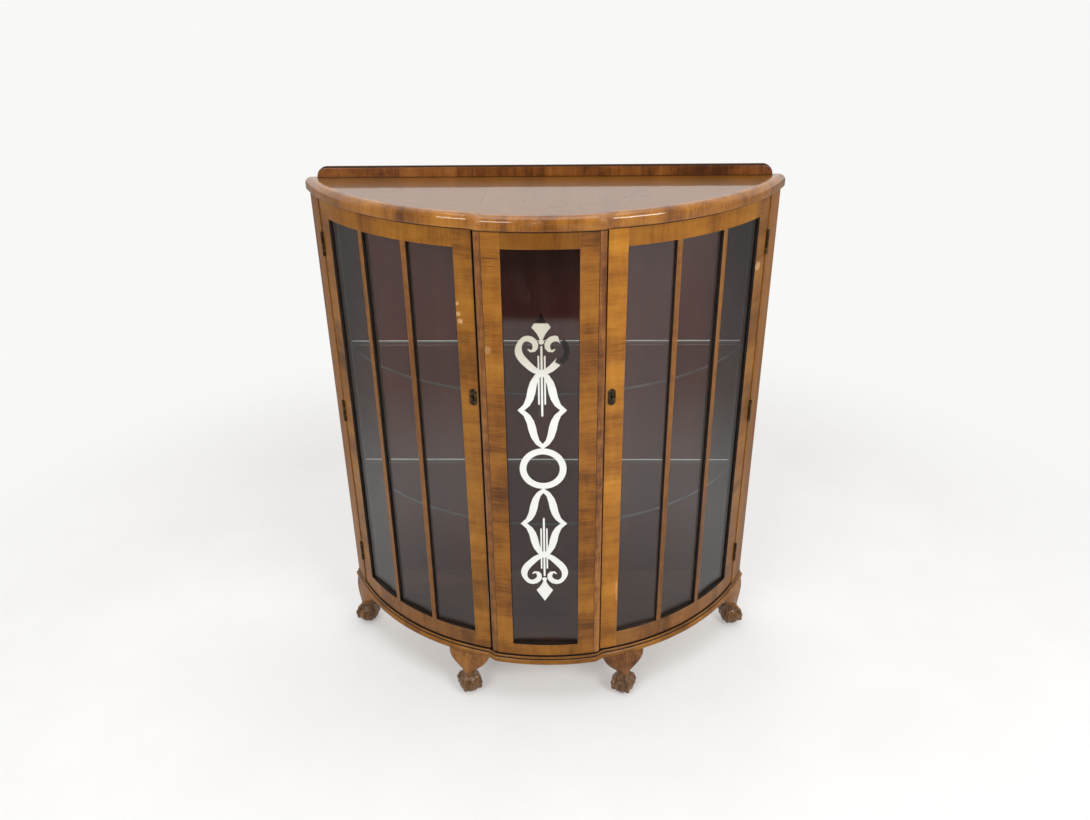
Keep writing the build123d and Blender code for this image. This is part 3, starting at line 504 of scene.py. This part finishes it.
def carved(name):
    """Dark polished carving: black in the hollows as painted shade, and lighter on the high places with wear
    and a painted highlight.
    """
    graph = material_graph(name)
    x, y, z = graph.place()
    run, radius = graph.bow(x, y)
    drawn = graph.combine(graph.shifted(run), radius, graph.times(z, 0.3))
    bands = graph.noise(drawn, scale=90.0, detail=4.0, roughness=0.6, distortion=0.4)
    lines = graph.noise(drawn, scale=520.0, detail=3.0, roughness=0.6)
    colour = graph.ramp(graph.weigh((bands, 0.7), (lines, 0.3)), CARVED_TONES)
    proud = graph.node("NewGeometry").outputs["Pointiness"]
    # Painted shade in the hollows, and wear with a painted highlight on the high places
    colour = graph.mix(graph.rescale(proud, 0.495, 0.43), colour, HOLLOW_SHADE)
    colour = graph.mix(graph.rescale(proud, 0.52, 0.60, out_high=HIGH_WEAR_AND_HIGHLIGHT_COVER), colour, HIGH_WEAR_AND_HIGHLIGHT)
    tooled = graph.noise(graph.combine(run, radius, z), scale=210.0, detail=3.0, roughness=0.6)
    return graph.principled({
        "Base Color": colour,
        "Roughness": graph.line(bands, 0.2, 0.18),
        "Normal": graph.bump(tooled, distance=0.0014, strength=0.6),
        "Specular IOR Level": 0.25, "Coat Weight": 0.60, "Coat Roughness": 0.06,
    })


# Materials; hue shifts the red, green and blue of the walnut's tones
ROSY, TAWNY = (1.0, 0.95, 1.0), (1.0, 1.03, 2.6)
CENTRE_STILE = walnut(
    "walnut_centre_stile", "round", light=0.95, contrast=1.1, hue=ROSY, marks=FRONT_MARKS, seams=True)
CENTRE_TOP_RAIL = walnut(
    "walnut_centre_top_rail", "up", light=0.68, contrast=0.7, hue=(1.02, 0.96, 0.8), coat=0.22, seams=True)
CENTRE_BOTTOM_RAIL = walnut("walnut_centre_bottom_rail", "up", light=1.08, seams=True)
HINGE_STILE = walnut(
    "walnut_hinge_stile", "round", light=0.98, hue=(1.0, 1.03, 1.8), coat=0.15, marks=FRONT_MARKS)
BAR = walnut("walnut_glazing_bar", "up", light=0.88, hue=(1.0, 1.04, 2.6))
SIDE_POST = walnut("walnut_side_post", "up", light=0.95, hue=(1.0, 1.0, 2.0), coat=0.06)
TOP_EDGE = walnut(
    "walnut_top_moulding", "up", light=1.06, contrast=1.2, hue=ROSY, coat=1.0, gloss=0.05, crazed=CRAZED)
BASE_EDGE = walnut("walnut_base_moulding", "up", light=0.95, coat=0.4, gloss=0.09)
KNEE = walnut("walnut_knee", "up", light=0.95, contrast=1.5, hue=TAWNY, coat=0.4, gloss=0.08)
TOP = walnut("walnut_top", "deep", light=0.66, contrast=0.3, coat=0.84, gloss=0.05, marks=TOP_MARKS)
# The gallery takes painted shade along its foot, where it meets the top
GALLERY = walnut("walnut_gallery", "up", light=0.62, contrast=1.6, hue=(1.08, 0.90, 1.9), joint=1.1668)
GALLERY_EDGE = stain(
    "gallery_edge", (0.022, 0.010, 0.005), (0.055, 0.024, 0.011), rough=0.60, grain_up=False, shine=0.05)
CLAW = carved("carved_claw")
INNER = stain("inner_stain", (0.050, 0.0122, 0.0092), (0.088, 0.0225, 0.0172), rough=0.38, shine=0.15)
INNER_FLAT = stain(
    "inner_floor_stain", (0.055, 0.022, 0.016), (0.130, 0.052, 0.040), rough=0.35, grain_up=False)
BARE = ply("bare_ply")
# Dark stain for the reveals round the glass; the base also takes it as painted shade in its quirk and under
# the doors
REVEAL = stain("dark_reveal", (0.008, 0.005, 0.003), (0.022, 0.011, 0.007), rough=0.35)
# Dark stain for edges and glazing beads; on the edges beside the gaps it also stands in as painted shade
DOOR_EDGE = stain("stained_edge_and_gap_shade", (0.022, 0.010, 0.005), (0.058, 0.026, 0.013), rough=0.40)
PANE_TINT = (0.97, 0.975, 0.97)
DOOR_GLASS = glass("door_glass", PANE_TINT, film=0.004)
CENTRE_GLASS = glass("centre_glass", PANE_TINT, film=0.003, ghosts=GHOSTS, scuffs=SCUFFS)
SHELF_GLASS = glass("shelf_glass", (0.93, 0.955, 0.94), film=0.004)
# Shelf edges that glow with painted light, the rear edge brightest
SHELF_REAR_EDGE_GLOW = glowing_shelf_edge("shelf_rear_edge", (0.82, 0.81, 0.79), (0.05, 0.05, 0.047), glow=0.55)
SHELF_FRONT_EDGE_GLOW = glowing_shelf_edge("shelf_front_edge", (0.075, 0.098, 0.090), (0.020, 0.024, 0.022), glow=0.09)
BRONZE = metal("aged_bronze", (0.048, 0.036, 0.023), (0.21, 0.155, 0.088), rough=0.25)
STEEL = metal("plain_steel", (0.28, 0.27, 0.26), (0.50, 0.49, 0.47), rough=0.30)
PAINT = paint("ornament_paint")


def dress(name, materials, choose=None):
    """Gives a solid its materials; choose picks one for each face from its centre and normal."""
    mesh = nodes[name].data
    mesh.materials.clear()
    for material in materials:
        mesh.materials.append(material)
    for face in mesh.polygons:
        face.material_index = choose(face.center, face.normal) if choose else 0


def outward(centre):
    """The direction away from the bow's centre, at a point."""
    away = Vector((centre.x, centre.y - ARC_Y, 0.0))
    return away.normalized()


def reach_of(centre):
    """The distance from the bow's centre, at a point."""
    return math.hypot(centre.x, centre.y - ARC_Y)


# A glazed frame's faces in the order of their materials, and how near a face lies to what it is tested for
FRONT, INSET, BEHIND, EDGE = range(4)
STEEP = 0.5
NEAR_FRONT, NEAR_LEVEL, NEAR_SIDE, EDGE_DEPTH = 0.003, 0.001, 0.25, 0.02


def frame_faces(radius, sides, levels, rebate):
    """Picks front, reveal, back and edge materials for a piece of a glazed frame."""
    def choose(centre, normal):
        facing = normal.dot(outward(centre))
        reach = reach_of(centre)
        if facing > STEEP and reach > radius - NEAR_FRONT:
            return FRONT
        if abs(normal.z) > STEEP:
            return INSET if any(abs(centre.z - level) < NEAR_LEVEL for level in levels) else EDGE
        if abs(facing) >= STEEP:
            return BEHIND
        angle = abs(math.degrees(math.atan2(centre.x, ARC_Y - centre.y)))
        if any(abs(angle - side) < NEAR_SIDE for side in sides) and reach > radius - rebate:
            return INSET
        return EDGE if reach > radius - EDGE_DEPTH else BEHIND
    return choose


QUIRK_Z = (0.1305, 0.1335)
POST_NOSE = 0.53


def base_faces(centre, normal):
    """Puts painted shade on the flat under the doors and in the quirk between the base's two mouldings."""
    if normal.z > 0.9 and centre.z > CASE_Z - NEAR_LEVEL:
        return 1
    return 1 if QUIRK_Z[0] < centre.z < QUIRK_Z[1] else 0


def centre_post_faces(centre, normal):
    return 0 if reach_of(centre) > POST_NOSE else 1


def side_post_faces(centre, normal):
    return 1 if normal.dot(outward(centre)) < -STEEP else 0


def back_faces(centre, normal):
    return 1 if normal.y > STEEP else 0


def upper_faces(centre, normal):
    return 0 if normal.z > STEEP else 1


def top_faces(centre, normal):
    return 0 if normal.z > STEEP else 1 if normal.z < -STEEP else 2


def gallery_faces(centre, normal):
    return 1 if normal.z > STEEP else 0


def shelf_faces(centre, normal):
    return 0 if abs(normal.z) > STEEP else 1 if normal.y > 0.9 else 2


# Angles of the openings' sides and of the bars' sides, and how deep the reveals in front of the glass are
OPENING = (17.35, 53.85)
BARS = (28.174, 29.426, 40.474, 41.726)
CENTRE_OPENING = (7.6,)
DOOR_REBATE, CENTRE_REBATE = 0.0095, 0.0135
# Lightness of each side's lock stile, top rail, bottom rail and centre post: lit and shaded copies of one
# walnut, with the right side painted lighter
SIDE_PAINTED_LIGHTS = (("left", 1.01, 0.97, 0.80, 0.90), ("right", 1.38, 1.12, 0.90, 1.14))
for side, lock, top, bottom, post in SIDE_PAINTED_LIGHTS:
    lock_stile = walnut(f"walnut_{side}_lock_stile", "round", lock, marks=FRONT_MARKS, seams=True)
    top_rail = walnut(f"walnut_{side}_top_rail", "up", top, coat=0.22, seams=True)
    bottom_rail = walnut(f"walnut_{side}_bottom_rail", "up", bottom, hue=(1.0, 1.02, 2.4), seams=True)
    centre_post = walnut(f"walnut_{side}_post", "up", post, contrast=1.5, hue=(1.0, 1.02, 2.8), seams=True)
    door_pieces = (
        ("lock_stile", lock_stile, OPENING, ()),
        ("hinge_stile", HINGE_STILE, OPENING, ()),
        ("top_rail", top_rail, (), SIGHT),
        ("bottom_rail", bottom_rail, (), SIGHT),
        ("glazing_bars", BAR, BARS, ()),
    )
    for piece, wood, sides, levels in door_pieces:
        dress(f"{side}_door_{piece}", (wood, REVEAL, INNER, DOOR_EDGE),
              frame_faces(DOOR_RADIUS, sides, levels, DOOR_REBATE))
    dress(f"{side}_centre_stile", (CENTRE_STILE, REVEAL, INNER, DOOR_EDGE),
          frame_faces(CENTRE_RADIUS, CENTRE_OPENING, (), CENTRE_REBATE))
    dress(f"{side}_centre_post", (centre_post, INNER), centre_post_faces)
    dress(f"{side}_side_post", (SIDE_POST, INNER), side_post_faces)
    dress(f"{side}_door_glazing_beads", (DOOR_EDGE,))
    for pane in ("inner", "middle", "outer"):
        dress(f"{side}_door_{pane}_pane", (DOOR_GLASS,))
    for piece in ("escutcheon", "hinge_door_leaves", "hinge_post_leaves", "hinge_pins"):
        dress(f"{side}_{piece}", (BRONZE,))
    for piece in ("lock_case", "lock_bolt"):
        dress(f"{side}_{piece}", (STEEL,))
for name, wood in (("centre_top_rail", CENTRE_TOP_RAIL), ("centre_bottom_rail", CENTRE_BOTTOM_RAIL)):
    dress(name, (wood, REVEAL, INNER, DOOR_EDGE),
          frame_faces(CENTRE_RADIUS, (), CENTRE_SIGHT, CENTRE_REBATE))
dress("centre_glass", (CENTRE_GLASS,))
dress("centre_glass_beads", (DOOR_EDGE,))
dress("glass_ornament", (PAINT,))
dress("back_panel", (INNER, BARE), back_faces)
dress("base_board", (INNER_FLAT, BARE), upper_faces)
dress("base_moulding", (BASE_EDGE, REVEAL), base_faces)
dress("top_board", (TOP, INNER_FLAT, BARE), top_faces)
dress("top_moulding", (TOP_EDGE,))
dress("gallery", (GALLERY, GALLERY_EDGE), gallery_faces)
dress("leg_tenons", (BARE,))
dress("shelf_pegs", (BRONZE,))
dress("lock_keeps", (BRONZE,))
for name in ("upper_shelf", "lower_shelf"):
    dress(name, (SHELF_GLASS, SHELF_REAR_EDGE_GLOW, SHELF_FRONT_EDGE_GLOW), shelf_faces)


def new_piece(name, mesh, materials, body):
    """Puts a finished mesh in the scene on a body."""
    made = bpy.data.objects.new(name, mesh)
    scene.collection.objects.link(made)
    for material in materials:
        mesh.materials.append(material)
    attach(made, body)
    return made


# Carved legs: a cabriole knee over a ball gripped by knuckled talons
KNEE_FRONT, KNEE_WIDTH, KNEE_DEPTH = 0.5555, 0.102, 0.052
KNEE_SWELL, KNEE_CURVE, KNEE_SQUARE = 0.003, 1.5, 5.0
KNEE_RINGS, KNEE_SIDES, KNEE_OVERLAP = 30, 96, 0.002
ANKLE_Z, ANKLE, ANKLE_SQUARE = 0.056, 0.0145, 2.0
BALL_CENTRE, BALL, FOOT_FLAT, BALL_WORN = 0.548, 0.0280, 0.004, 0.0006
CLAW_TOP = 0.058
FRONT_LEG, REAR_LEG = 19.6, 61.3
# Sinews: distance from the leg's axis, height over the ball's centre and thickness, each as its value
# at the top and what it gains going down
SINEW_STEPS = 8
SINEW_REACH, SINEW_HEIGHT, SINEW_THICK = (0.0108, 0.0010), (0.044, -0.020), (0.0030, 0.0016)
# Talons: lean from upright in degrees, thickness and distance out from the ball, with knuckles and a nail
TALONS = (0, 85, 180, 275)
TALON_STEPS = 30
TALON_LEAN, TALON_SWEEP = 24, 98
KNUCKLE_TURNS = 7
NAIL_START = 0.76
TALON_THICK, KNUCKLE_THICK, NAIL_THICK = 0.0046, 0.0012, 0.0020
TALON_SUNK, KNUCKLE_OUT, NAIL_OUT = 0.0012, 0.0011, 0.0012
# Fusing and tool marks
VOXEL = 0.0010
CHISEL_DEPTH, CHISEL_FADE = 0.0013, 0.012
CHISEL_COARSE, CHISEL_FINE, FINE_SHARE = 115.0, 270.0, 0.6


def knee_mesh(work):
    """Lofts the knee and ankle at an angle of zero, square at the base and round at the ankle."""
    previous = None
    for step in range(-1, KNEE_RINGS + 2):
        share = min(max(step / KNEE_RINGS, 0.0), 1.0)
        early = share ** KNEE_CURVE
        bend = early * early * (3 - 2 * early)
        height = LEG_HEIGHT + (ANKLE_Z - LEG_HEIGHT) * share
        if step < 0:
            height = LEG_HEIGHT + KNEE_OVERLAP
        if step > KNEE_RINGS:
            height = BALL
        front = KNEE_FRONT + (BALL_CENTRE + ANKLE - KNEE_FRONT) * share
        front += KNEE_SWELL * math.sin(math.pi * share)
        wide = (KNEE_WIDTH + (2 * ANKLE - KNEE_WIDTH) * bend) / 2
        deep = (KNEE_DEPTH + (2 * ANKLE - KNEE_DEPTH) * bend) / 2
        power = 2 / (KNEE_SQUARE + (ANKLE_SQUARE - KNEE_SQUARE) * bend)
        ring = []
        for turn in range(KNEE_SIDES):
            around = 2 * math.pi * turn / KNEE_SIDES
            across = math.copysign(abs(math.sin(around)) ** power, math.sin(around))
            out = math.copysign(abs(math.cos(around)) ** power, math.cos(around))
            ring.append(work.verts.new((wide * across, ARC_Y - front + deep * (1 - out), height)))
        if previous is None:
            work.faces.new(ring)
        else:
            for turn in range(KNEE_SIDES):
                after = (turn + 1) % KNEE_SIDES
                work.faces.new((previous[turn], previous[after], ring[after], ring[turn]))
        previous = ring
    work.faces.new(list(reversed(previous)))


def ball_at(work, place, radius):
    """Adds a rounded lump."""
    matrix = Matrix.Translation(place) @ Matrix.Diagonal((radius, radius, radius, 1.0))
    bmesh.ops.create_icosphere(work, subdivisions=3, radius=1.0, matrix=matrix)


def foot_mesh(work):
    """Adds the ball with its four knuckled talons, their nails and the sinews up the ankle."""
    centre = Vector((0.0, ARC_Y - BALL_CENTRE, BALL - FOOT_FLAT))
    ball_at(work, centre, BALL - BALL_WORN)
    for heading in TALONS:
        turn = math.radians(heading)
        away = Vector((math.sin(turn), -math.cos(turn), 0.0))
        for step in range(SINEW_STEPS + 1):
            share = step / SINEW_STEPS
            reach, height, thick = (
                start + gain * share for start, gain in (SINEW_REACH, SINEW_HEIGHT, SINEW_THICK))
            ball_at(work, centre + away * reach + Vector((0.0, 0.0, height)), thick)
        for step in range(TALON_STEPS + 1):
            share = step / TALON_STEPS
            lean = math.radians(TALON_LEAN + TALON_SWEEP * share)
            knuckle = 0.5 + 0.5 * math.cos(share * KNUCKLE_TURNS * math.pi)
            nail = max(share - NAIL_START, 0.0) / (1 - NAIL_START)
            thick = (TALON_THICK + KNUCKLE_THICK * knuckle) * (1 - nail) + NAIL_THICK * nail
            reach = BALL - TALON_SUNK + KNUCKLE_OUT * knuckle + NAIL_OUT * nail
            heading_out = away * math.sin(lean) + Vector((0.0, 0.0, math.cos(lean)))
            ball_at(work, centre + heading_out * reach, thick)


def leg_mesh(name, angle):
    """Fuses the knee and the foot, turns them to their place and trims them to the floor, base and back."""
    work = bmesh.new()
    knee_mesh(work)
    foot_mesh(work)
    rough = bpy.data.meshes.new(name + "_rough")
    work.to_mesh(rough)
    work.free()
    holder = bpy.data.objects.new(name + "_rough", rough)
    scene.collection.objects.link(holder)
    remesh = holder.modifiers.new("fuse", "REMESH")
    remesh.mode = "VOXEL"
    remesh.voxel_size = VOXEL
    soften = holder.modifiers.new("soften", "SMOOTH")
    soften.factor = 0.5
    soften.iterations = 2
    evaluated = holder.evaluated_get(bpy.context.evaluated_depsgraph_get())
    fused = bpy.data.meshes.new_from_object(evaluated)
    bpy.data.objects.remove(holder)
    pivot = Matrix.Translation((0.0, ARC_Y, 0.0))
    fused.transform(pivot @ Matrix.Rotation(math.radians(angle), 4, "Z") @ pivot.inverted())
    shifts = []
    for vertex in fused.vertices:
        depth = min(max((CLAW_TOP - vertex.co.z) / CHISEL_FADE, 0.0), 1.0)
        chisel = noise.noise(vertex.co * CHISEL_COARSE) + FINE_SHARE * noise.noise(vertex.co * CHISEL_FINE)
        shifts.append(vertex.normal * (CHISEL_DEPTH * depth * chisel))
    for vertex, shift in zip(fused.vertices, shifts):
        vertex.co += shift
        vertex.co.z = min(max(vertex.co.z, 0.0), LEG_HEIGHT)
        vertex.co.y = min(vertex.co.y, BACK_Y)
    fused.name = name
    fused.materials.clear()
    for face in fused.polygons:
        face.use_smooth = True
        face.material_index = 0 if face.center.z > CLAW_TOP else 1
    return fused


LEGS = (
    ("front_left", -FRONT_LEG), ("front_right", FRONT_LEG),
    ("rear_left", -REAR_LEG), ("rear_right", REAR_LEG),
)
for name, angle in LEGS:
    leg = leg_mesh(f"{name}_carved_leg", angle)
    piece = new_piece(f"{name}_carved_leg", leg, (KNEE, CLAW), "carcass")
    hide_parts(f"{name}_leg")


# Slotted screws in the hinge leaves and round the back panel
# Half the slot's width, the rise of the head and its crown, as shares of its radius, and steps in half a turn
HEAD_SLOT, HEAD_RISE, HEAD_CROWN, HEAD_STEPS = 0.14, 0.22, 0.8, 10
SLOT_FLOOR = 0.0002


def slotted_head(work, place, normal, radius, spin):
    """Adds a screw head: a domed disc whose two halves stand either side of its slot."""
    across = normal.orthogonal().normalized()
    flat = Matrix((across, normal.cross(across), normal)).transposed().to_4x4()
    matrix = Matrix.Translation(place) @ flat @ Matrix.Rotation(spin, 4, "Z")
    slot, tall = radius * HEAD_SLOT, radius * HEAD_RISE
    floor_ring = []
    for step in range(2 * HEAD_STEPS):
        turn = math.pi * step / HEAD_STEPS
        rim = Vector((radius * math.cos(turn), radius * math.sin(turn), SLOT_FLOOR))
        floor_ring.append(work.verts.new(matrix @ rim))
    work.faces.new(floor_ring)
    start = math.asin(slot / radius)
    for half in (1, -1):
        edge, crown = [], []
        for step in range(HEAD_STEPS + 1):
            turn = start + (math.pi - 2 * start) * step / HEAD_STEPS
            rim = Vector((radius * math.cos(turn), half * radius * math.sin(turn), 0.0))
            inner = Vector((rim.x * HEAD_CROWN, half * max(abs(rim.y) * HEAD_CROWN, slot), tall))
            edge.append(work.verts.new(matrix @ rim))
            crown.append(work.verts.new(matrix @ inner))
        for step in range(HEAD_STEPS):
            work.faces.new((edge[step], edge[step + 1], crown[step + 1], crown[step])[::half])
        work.faces.new(crown[::half])
        work.faces.new((edge[-1], edge[0], crown[0], crown[-1])[::half])


def screw_mesh(name, heads, radius):
    """One mesh of screw heads, from (place, normal, turn of the slot) rows."""
    work = bmesh.new()
    for place, normal, spin in heads:
        slotted_head(work, place, normal, radius, spin)
    mesh = bpy.data.meshes.new(name)
    work.to_mesh(mesh)
    work.free()
    return mesh


# Hinges by height, and the screws of a leaf by rise and radius
HINGES = (0.236, 0.636, 1.036)
LEAF_SCREWS = ((-0.018, 0.541), (0.0, 0.537), (0.018, 0.541))
HINGE_SCREW, PANEL_SCREW = 0.0026, 0.0034
for side, sign in (("left", -1), ("right", 1)):
    for part, angle, face in (("post", SEAM + HALF_GAP, -1), ("door", SEAM - HALF_GAP, 1)):
        turn = math.radians(angle)
        normal = Vector((sign * math.cos(turn), math.sin(turn), 0.0)) * face
        heads = []
        for index, height in enumerate(HINGES):
            for rise, radius in LEAF_SCREWS:
                heads.append((polar(radius, sign * angle, height + rise), normal, 0.7 * index + 40 * rise))
        body = "carcass" if part == "post" else f"{side}_door"
        name = f"{side}_{part}_hinge_screws"
        new_piece(name, screw_mesh(name, heads, HINGE_SCREW), (BRONZE,), body)

# Rows of screws across the back panel's top and bottom, and up its sides
REARWARD = Vector((0.0, 1.0, 0.0))
ROW_COUNT, ROW_START, ROW_STEP, ROW_INSET = 9, -0.46, 0.115, 0.012
COLUMN_COUNT, COLUMN_X, COLUMN_STEP = 7, 0.474, 0.125
panel_heads = []
for step in range(ROW_COUNT):
    for height in (CASE_Z + ROW_INSET, TOP_Z - ROW_INSET):
        panel_heads.append((Vector((ROW_START + ROW_STEP * step, BACK_Y, height)), REARWARD, 0.3 * step))
for step in range(1, COLUMN_COUNT + 1):
    for x in (-COLUMN_X, COLUMN_X):
        panel_heads.append((Vector((x, BACK_Y, CASE_Z + COLUMN_STEP * step)), REARWARD, 0.5 * step))
panel_screws = screw_mesh("back_panel_screws", panel_heads, PANEL_SCREW)
new_piece("back_panel_screws", panel_screws, (STEEL,), "carcass")


# Studio: a pale floor that runs out of sight, a pale surround and soft lamps
FLOOR_REACH = 60.0
BACKDROP = (0.945, 0.940, 0.930, 1.0)
FLOOR_TONES = ((0.845, 0.842, 0.834, 1.0), (0.885, 0.883, 0.877, 1.0))
SPECK, SPECK_COVER = (0.45, 0.43, 0.40, 1.0), 0.08
# Share of the even backdrop in the floor that the camera sees: this much near by, and all of it far off
SHADOW_FILL = 0.28
BACKDROP_REACH = (0.8, 2.2)
# What glass and lacquer mirror of the floor: straight in front it is grey and then dark
MIDDLE_HALF = (0.30, 0.60)
MIDDLE_GREY, MIDDLE_DARK = (0.47, 0.465, 0.456, 1.0), (0.03, 0.025, 0.02, 1.0)
DARK_Y = (-2.53, -2.67)
# To the sides its tone goes by distance from the cabinet
MIRROR_SPAN = 3.2
MIRRORED = (
    (0.50, (0.50, 0.49, 0.48)), (0.75, (0.62, 0.61, 0.59)), (1.05, (0.80, 0.79, 0.77)),
    (1.40, (0.82, 0.80, 0.78)), (1.65, (0.68, 0.63, 0.60)), (1.95, (0.58, 0.46, 0.42)),
    (2.40, (0.53, 0.42, 0.39)), (3.20, (0.53, 0.43, 0.41)),
)
# It is fainter on the left, brighter in front on the right, and dim behind
BLACK, LEFT_X, LEFT_COVER = (0.0, 0.0, 0.0, 1.0), (0.0, -0.5), 0.10
RIGHT_BRIGHT, RIGHT_Y, RIGHT_COVER = (1.0, 0.87, 0.86, 1.0), (-0.5, -1.1), 0.45
BEHIND_GREY, BEHIND_Y = (0.30, 0.295, 0.285, 1.0), (-0.3, 1.1)


def studio_floor():
    """A pale scuffed floor that fades into the backdrop; mirror rays find greys by distance and side."""
    graph = material_graph("studio_floor")
    x, y, z = graph.place()
    solid = graph.combine(x, y, z)
    cloud = graph.noise(solid, scale=2.2, detail=4.0, roughness=0.6)
    specks = graph.noise(solid, scale=38.0, detail=4.0, roughness=0.7)
    colour = graph.mix(graph.rescale(cloud, 0.35, 0.7), *FLOOR_TONES)
    colour = graph.mix(graph.rescale(specks, 0.68, 0.76, out_high=SPECK_COVER), colour, SPECK)
    lit = graph.node("BsdfPrincipled", {"Base Color": colour, "Roughness": 0.75, "Specular IOR Level": 0.2})
    paths = graph.node("LightPath").outputs
    away = graph.length(x, y)
    middle = graph.mix(graph.rescale(y, *DARK_Y), MIDDLE_GREY, MIDDLE_DARK)
    stops = [(distance / MIRROR_SPAN, tone) for distance, tone in MIRRORED]
    aside = graph.ramp(graph.math("DIVIDE", away, MIRROR_SPAN), stops)
    aside = graph.mix(graph.rescale(x, *LEFT_X, out_high=LEFT_COVER), aside, BLACK)
    front = graph.rescale(y, *RIGHT_Y, out_high=RIGHT_COVER)
    aside = graph.mix(graph.times(graph.rescale(x, *MIDDLE_HALF), front), aside, RIGHT_BRIGHT)
    grey = graph.mix(graph.rescale(graph.math("ABSOLUTE", x), *MIDDLE_HALF), middle, aside)
    grey = graph.mix(graph.rescale(y, *BEHIND_Y), grey, BEHIND_GREY)
    glow = graph.mix(paths["Is Glossy Ray"], BACKDROP, grey)
    backdrop = graph.node("Emission", {"Color": glow, "Strength": 1.0})
    straight = graph.plus(paths["Is Camera Ray"], paths["Is Transmission Ray"])
    far = graph.rescale(away, *BACKDROP_REACH)
    seen = graph.times(graph.math("MAXIMUM", far, SHADOW_FILL), straight)
    share = graph.math("ADD", seen, paths["Is Glossy Ray"], clamp=True)
    return graph.finish(graph.mix_shaders(share, lit.outputs[0], backdrop.outputs[0]))


# The surround by direction: dim in front, dimmer there for mirror rays, and pale behind
FRONT_SKY, MIRRORED_SKY = (0.20, 0.197, 0.19, 1.0), (0.09, 0.087, 0.083, 1.0)
BACK_SKY, SKY_Y = (0.96, 0.95, 0.94, 1.0), (-0.5, 0.3)


def studio_world():
    """The surround that lights the cabinet; the camera sees the even backdrop in its place."""
    graph = Graph(bpy.data.worlds.new("studio"))
    paths = graph.node("LightPath").outputs
    direction = graph.node("TexCoord").outputs["Generated"]
    rearward = graph.node("SeparateXYZ", {0: direction}).outputs[1]
    back = graph.node("MapRange", {0: rearward, 1: SKY_Y[0], 2: SKY_Y[1]}).outputs[0]
    front = graph.mix(paths["Is Glossy Ray"], FRONT_SKY, MIRRORED_SKY)
    seen = graph.mix(paths["Is Camera Ray"], graph.mix(back, front, BACK_SKY), BACKDROP)
    return graph.finish(graph.node("Background", {0: seen}).outputs[0], "OutputWorld")


floor_corners = [
    (-FLOOR_REACH, -FLOOR_REACH, 0), (FLOOR_REACH, -FLOOR_REACH, 0),
    (FLOOR_REACH, FLOOR_REACH, 0), (-FLOOR_REACH, FLOOR_REACH, 0),
]
floor_mesh = bpy.data.meshes.new("studio_floor")
floor_mesh.from_pydata(floor_corners, [], [(0, 1, 2, 3)])
floor_mesh.materials.append(studio_floor())
floor = bpy.data.objects.new("studio_floor", floor_mesh)
scene.collection.objects.link(floor)
scene.world = studio_world()


def softbox(name, place, aim, size, power):
    """A large soft lamp that looks at a point."""
    lamp = bpy.data.lights.new(name, "AREA")
    lamp.shape = "RECTANGLE"
    lamp.size, lamp.size_y = size
    lamp.energy = power
    holder = bpy.data.objects.new(name, lamp)
    holder.location = place
    holder.rotation_euler = (Vector(aim) - Vector(place)).to_track_quat("-Z", "Y").to_euler()
    scene.collection.objects.link(holder)


CASE_MIDDLE = (0.0, 0.0, 0.6)
softbox("front_left_lamp", place=(-1.6, -2.5, 2.4), aim=CASE_MIDDLE, size=(1.9, 0.6), power=43.0)
softbox("front_right_lamp", place=(2.0, -2.1, 2.4), aim=CASE_MIDDLE, size=(1.4, 0.75), power=46.5)
softbox("top_lamp", place=(0.0, -0.4, 3.2), aim=(0.0, 0.0, 0.4), size=(2.4, 1.8), power=23.0)

# Camera at the photograph's place, turn and lens
YAW, PITCH, ROLL = (math.radians(angle) for angle in (-1.616, 27.133, -0.734))
CAMERA_PLACE = Vector((0.0506, -1.7468, 1.5903))
FOCAL_PIXELS, PHOTO_WIDTH, SENSOR_WIDTH = 898.7, 1090, 36.0
forward = Vector((math.sin(YAW) * math.cos(PITCH), math.cos(YAW) * math.cos(PITCH), -math.sin(PITCH)))
level = Vector((math.cos(YAW), -math.sin(YAW), 0.0))
upright = level.cross(forward)
right = level * math.cos(ROLL) + upright * math.sin(ROLL)
up = upright * math.cos(ROLL) - level * math.sin(ROLL)
lens = bpy.data.cameras.new("camera")
lens.sensor_width = SENSOR_WIDTH
lens.lens = FOCAL_PIXELS / PHOTO_WIDTH * SENSOR_WIDTH
lens.dof.use_dof = False
pose = Matrix((right, up, -forward)).transposed().to_4x4()
pose.translation = CAMERA_PLACE
camera = bpy.data.objects.new("camera", lens)
camera.matrix_world = pose
scene.collection.objects.link(camera)
scene.camera = camera
scene.view_settings.view_transform = "Standard"
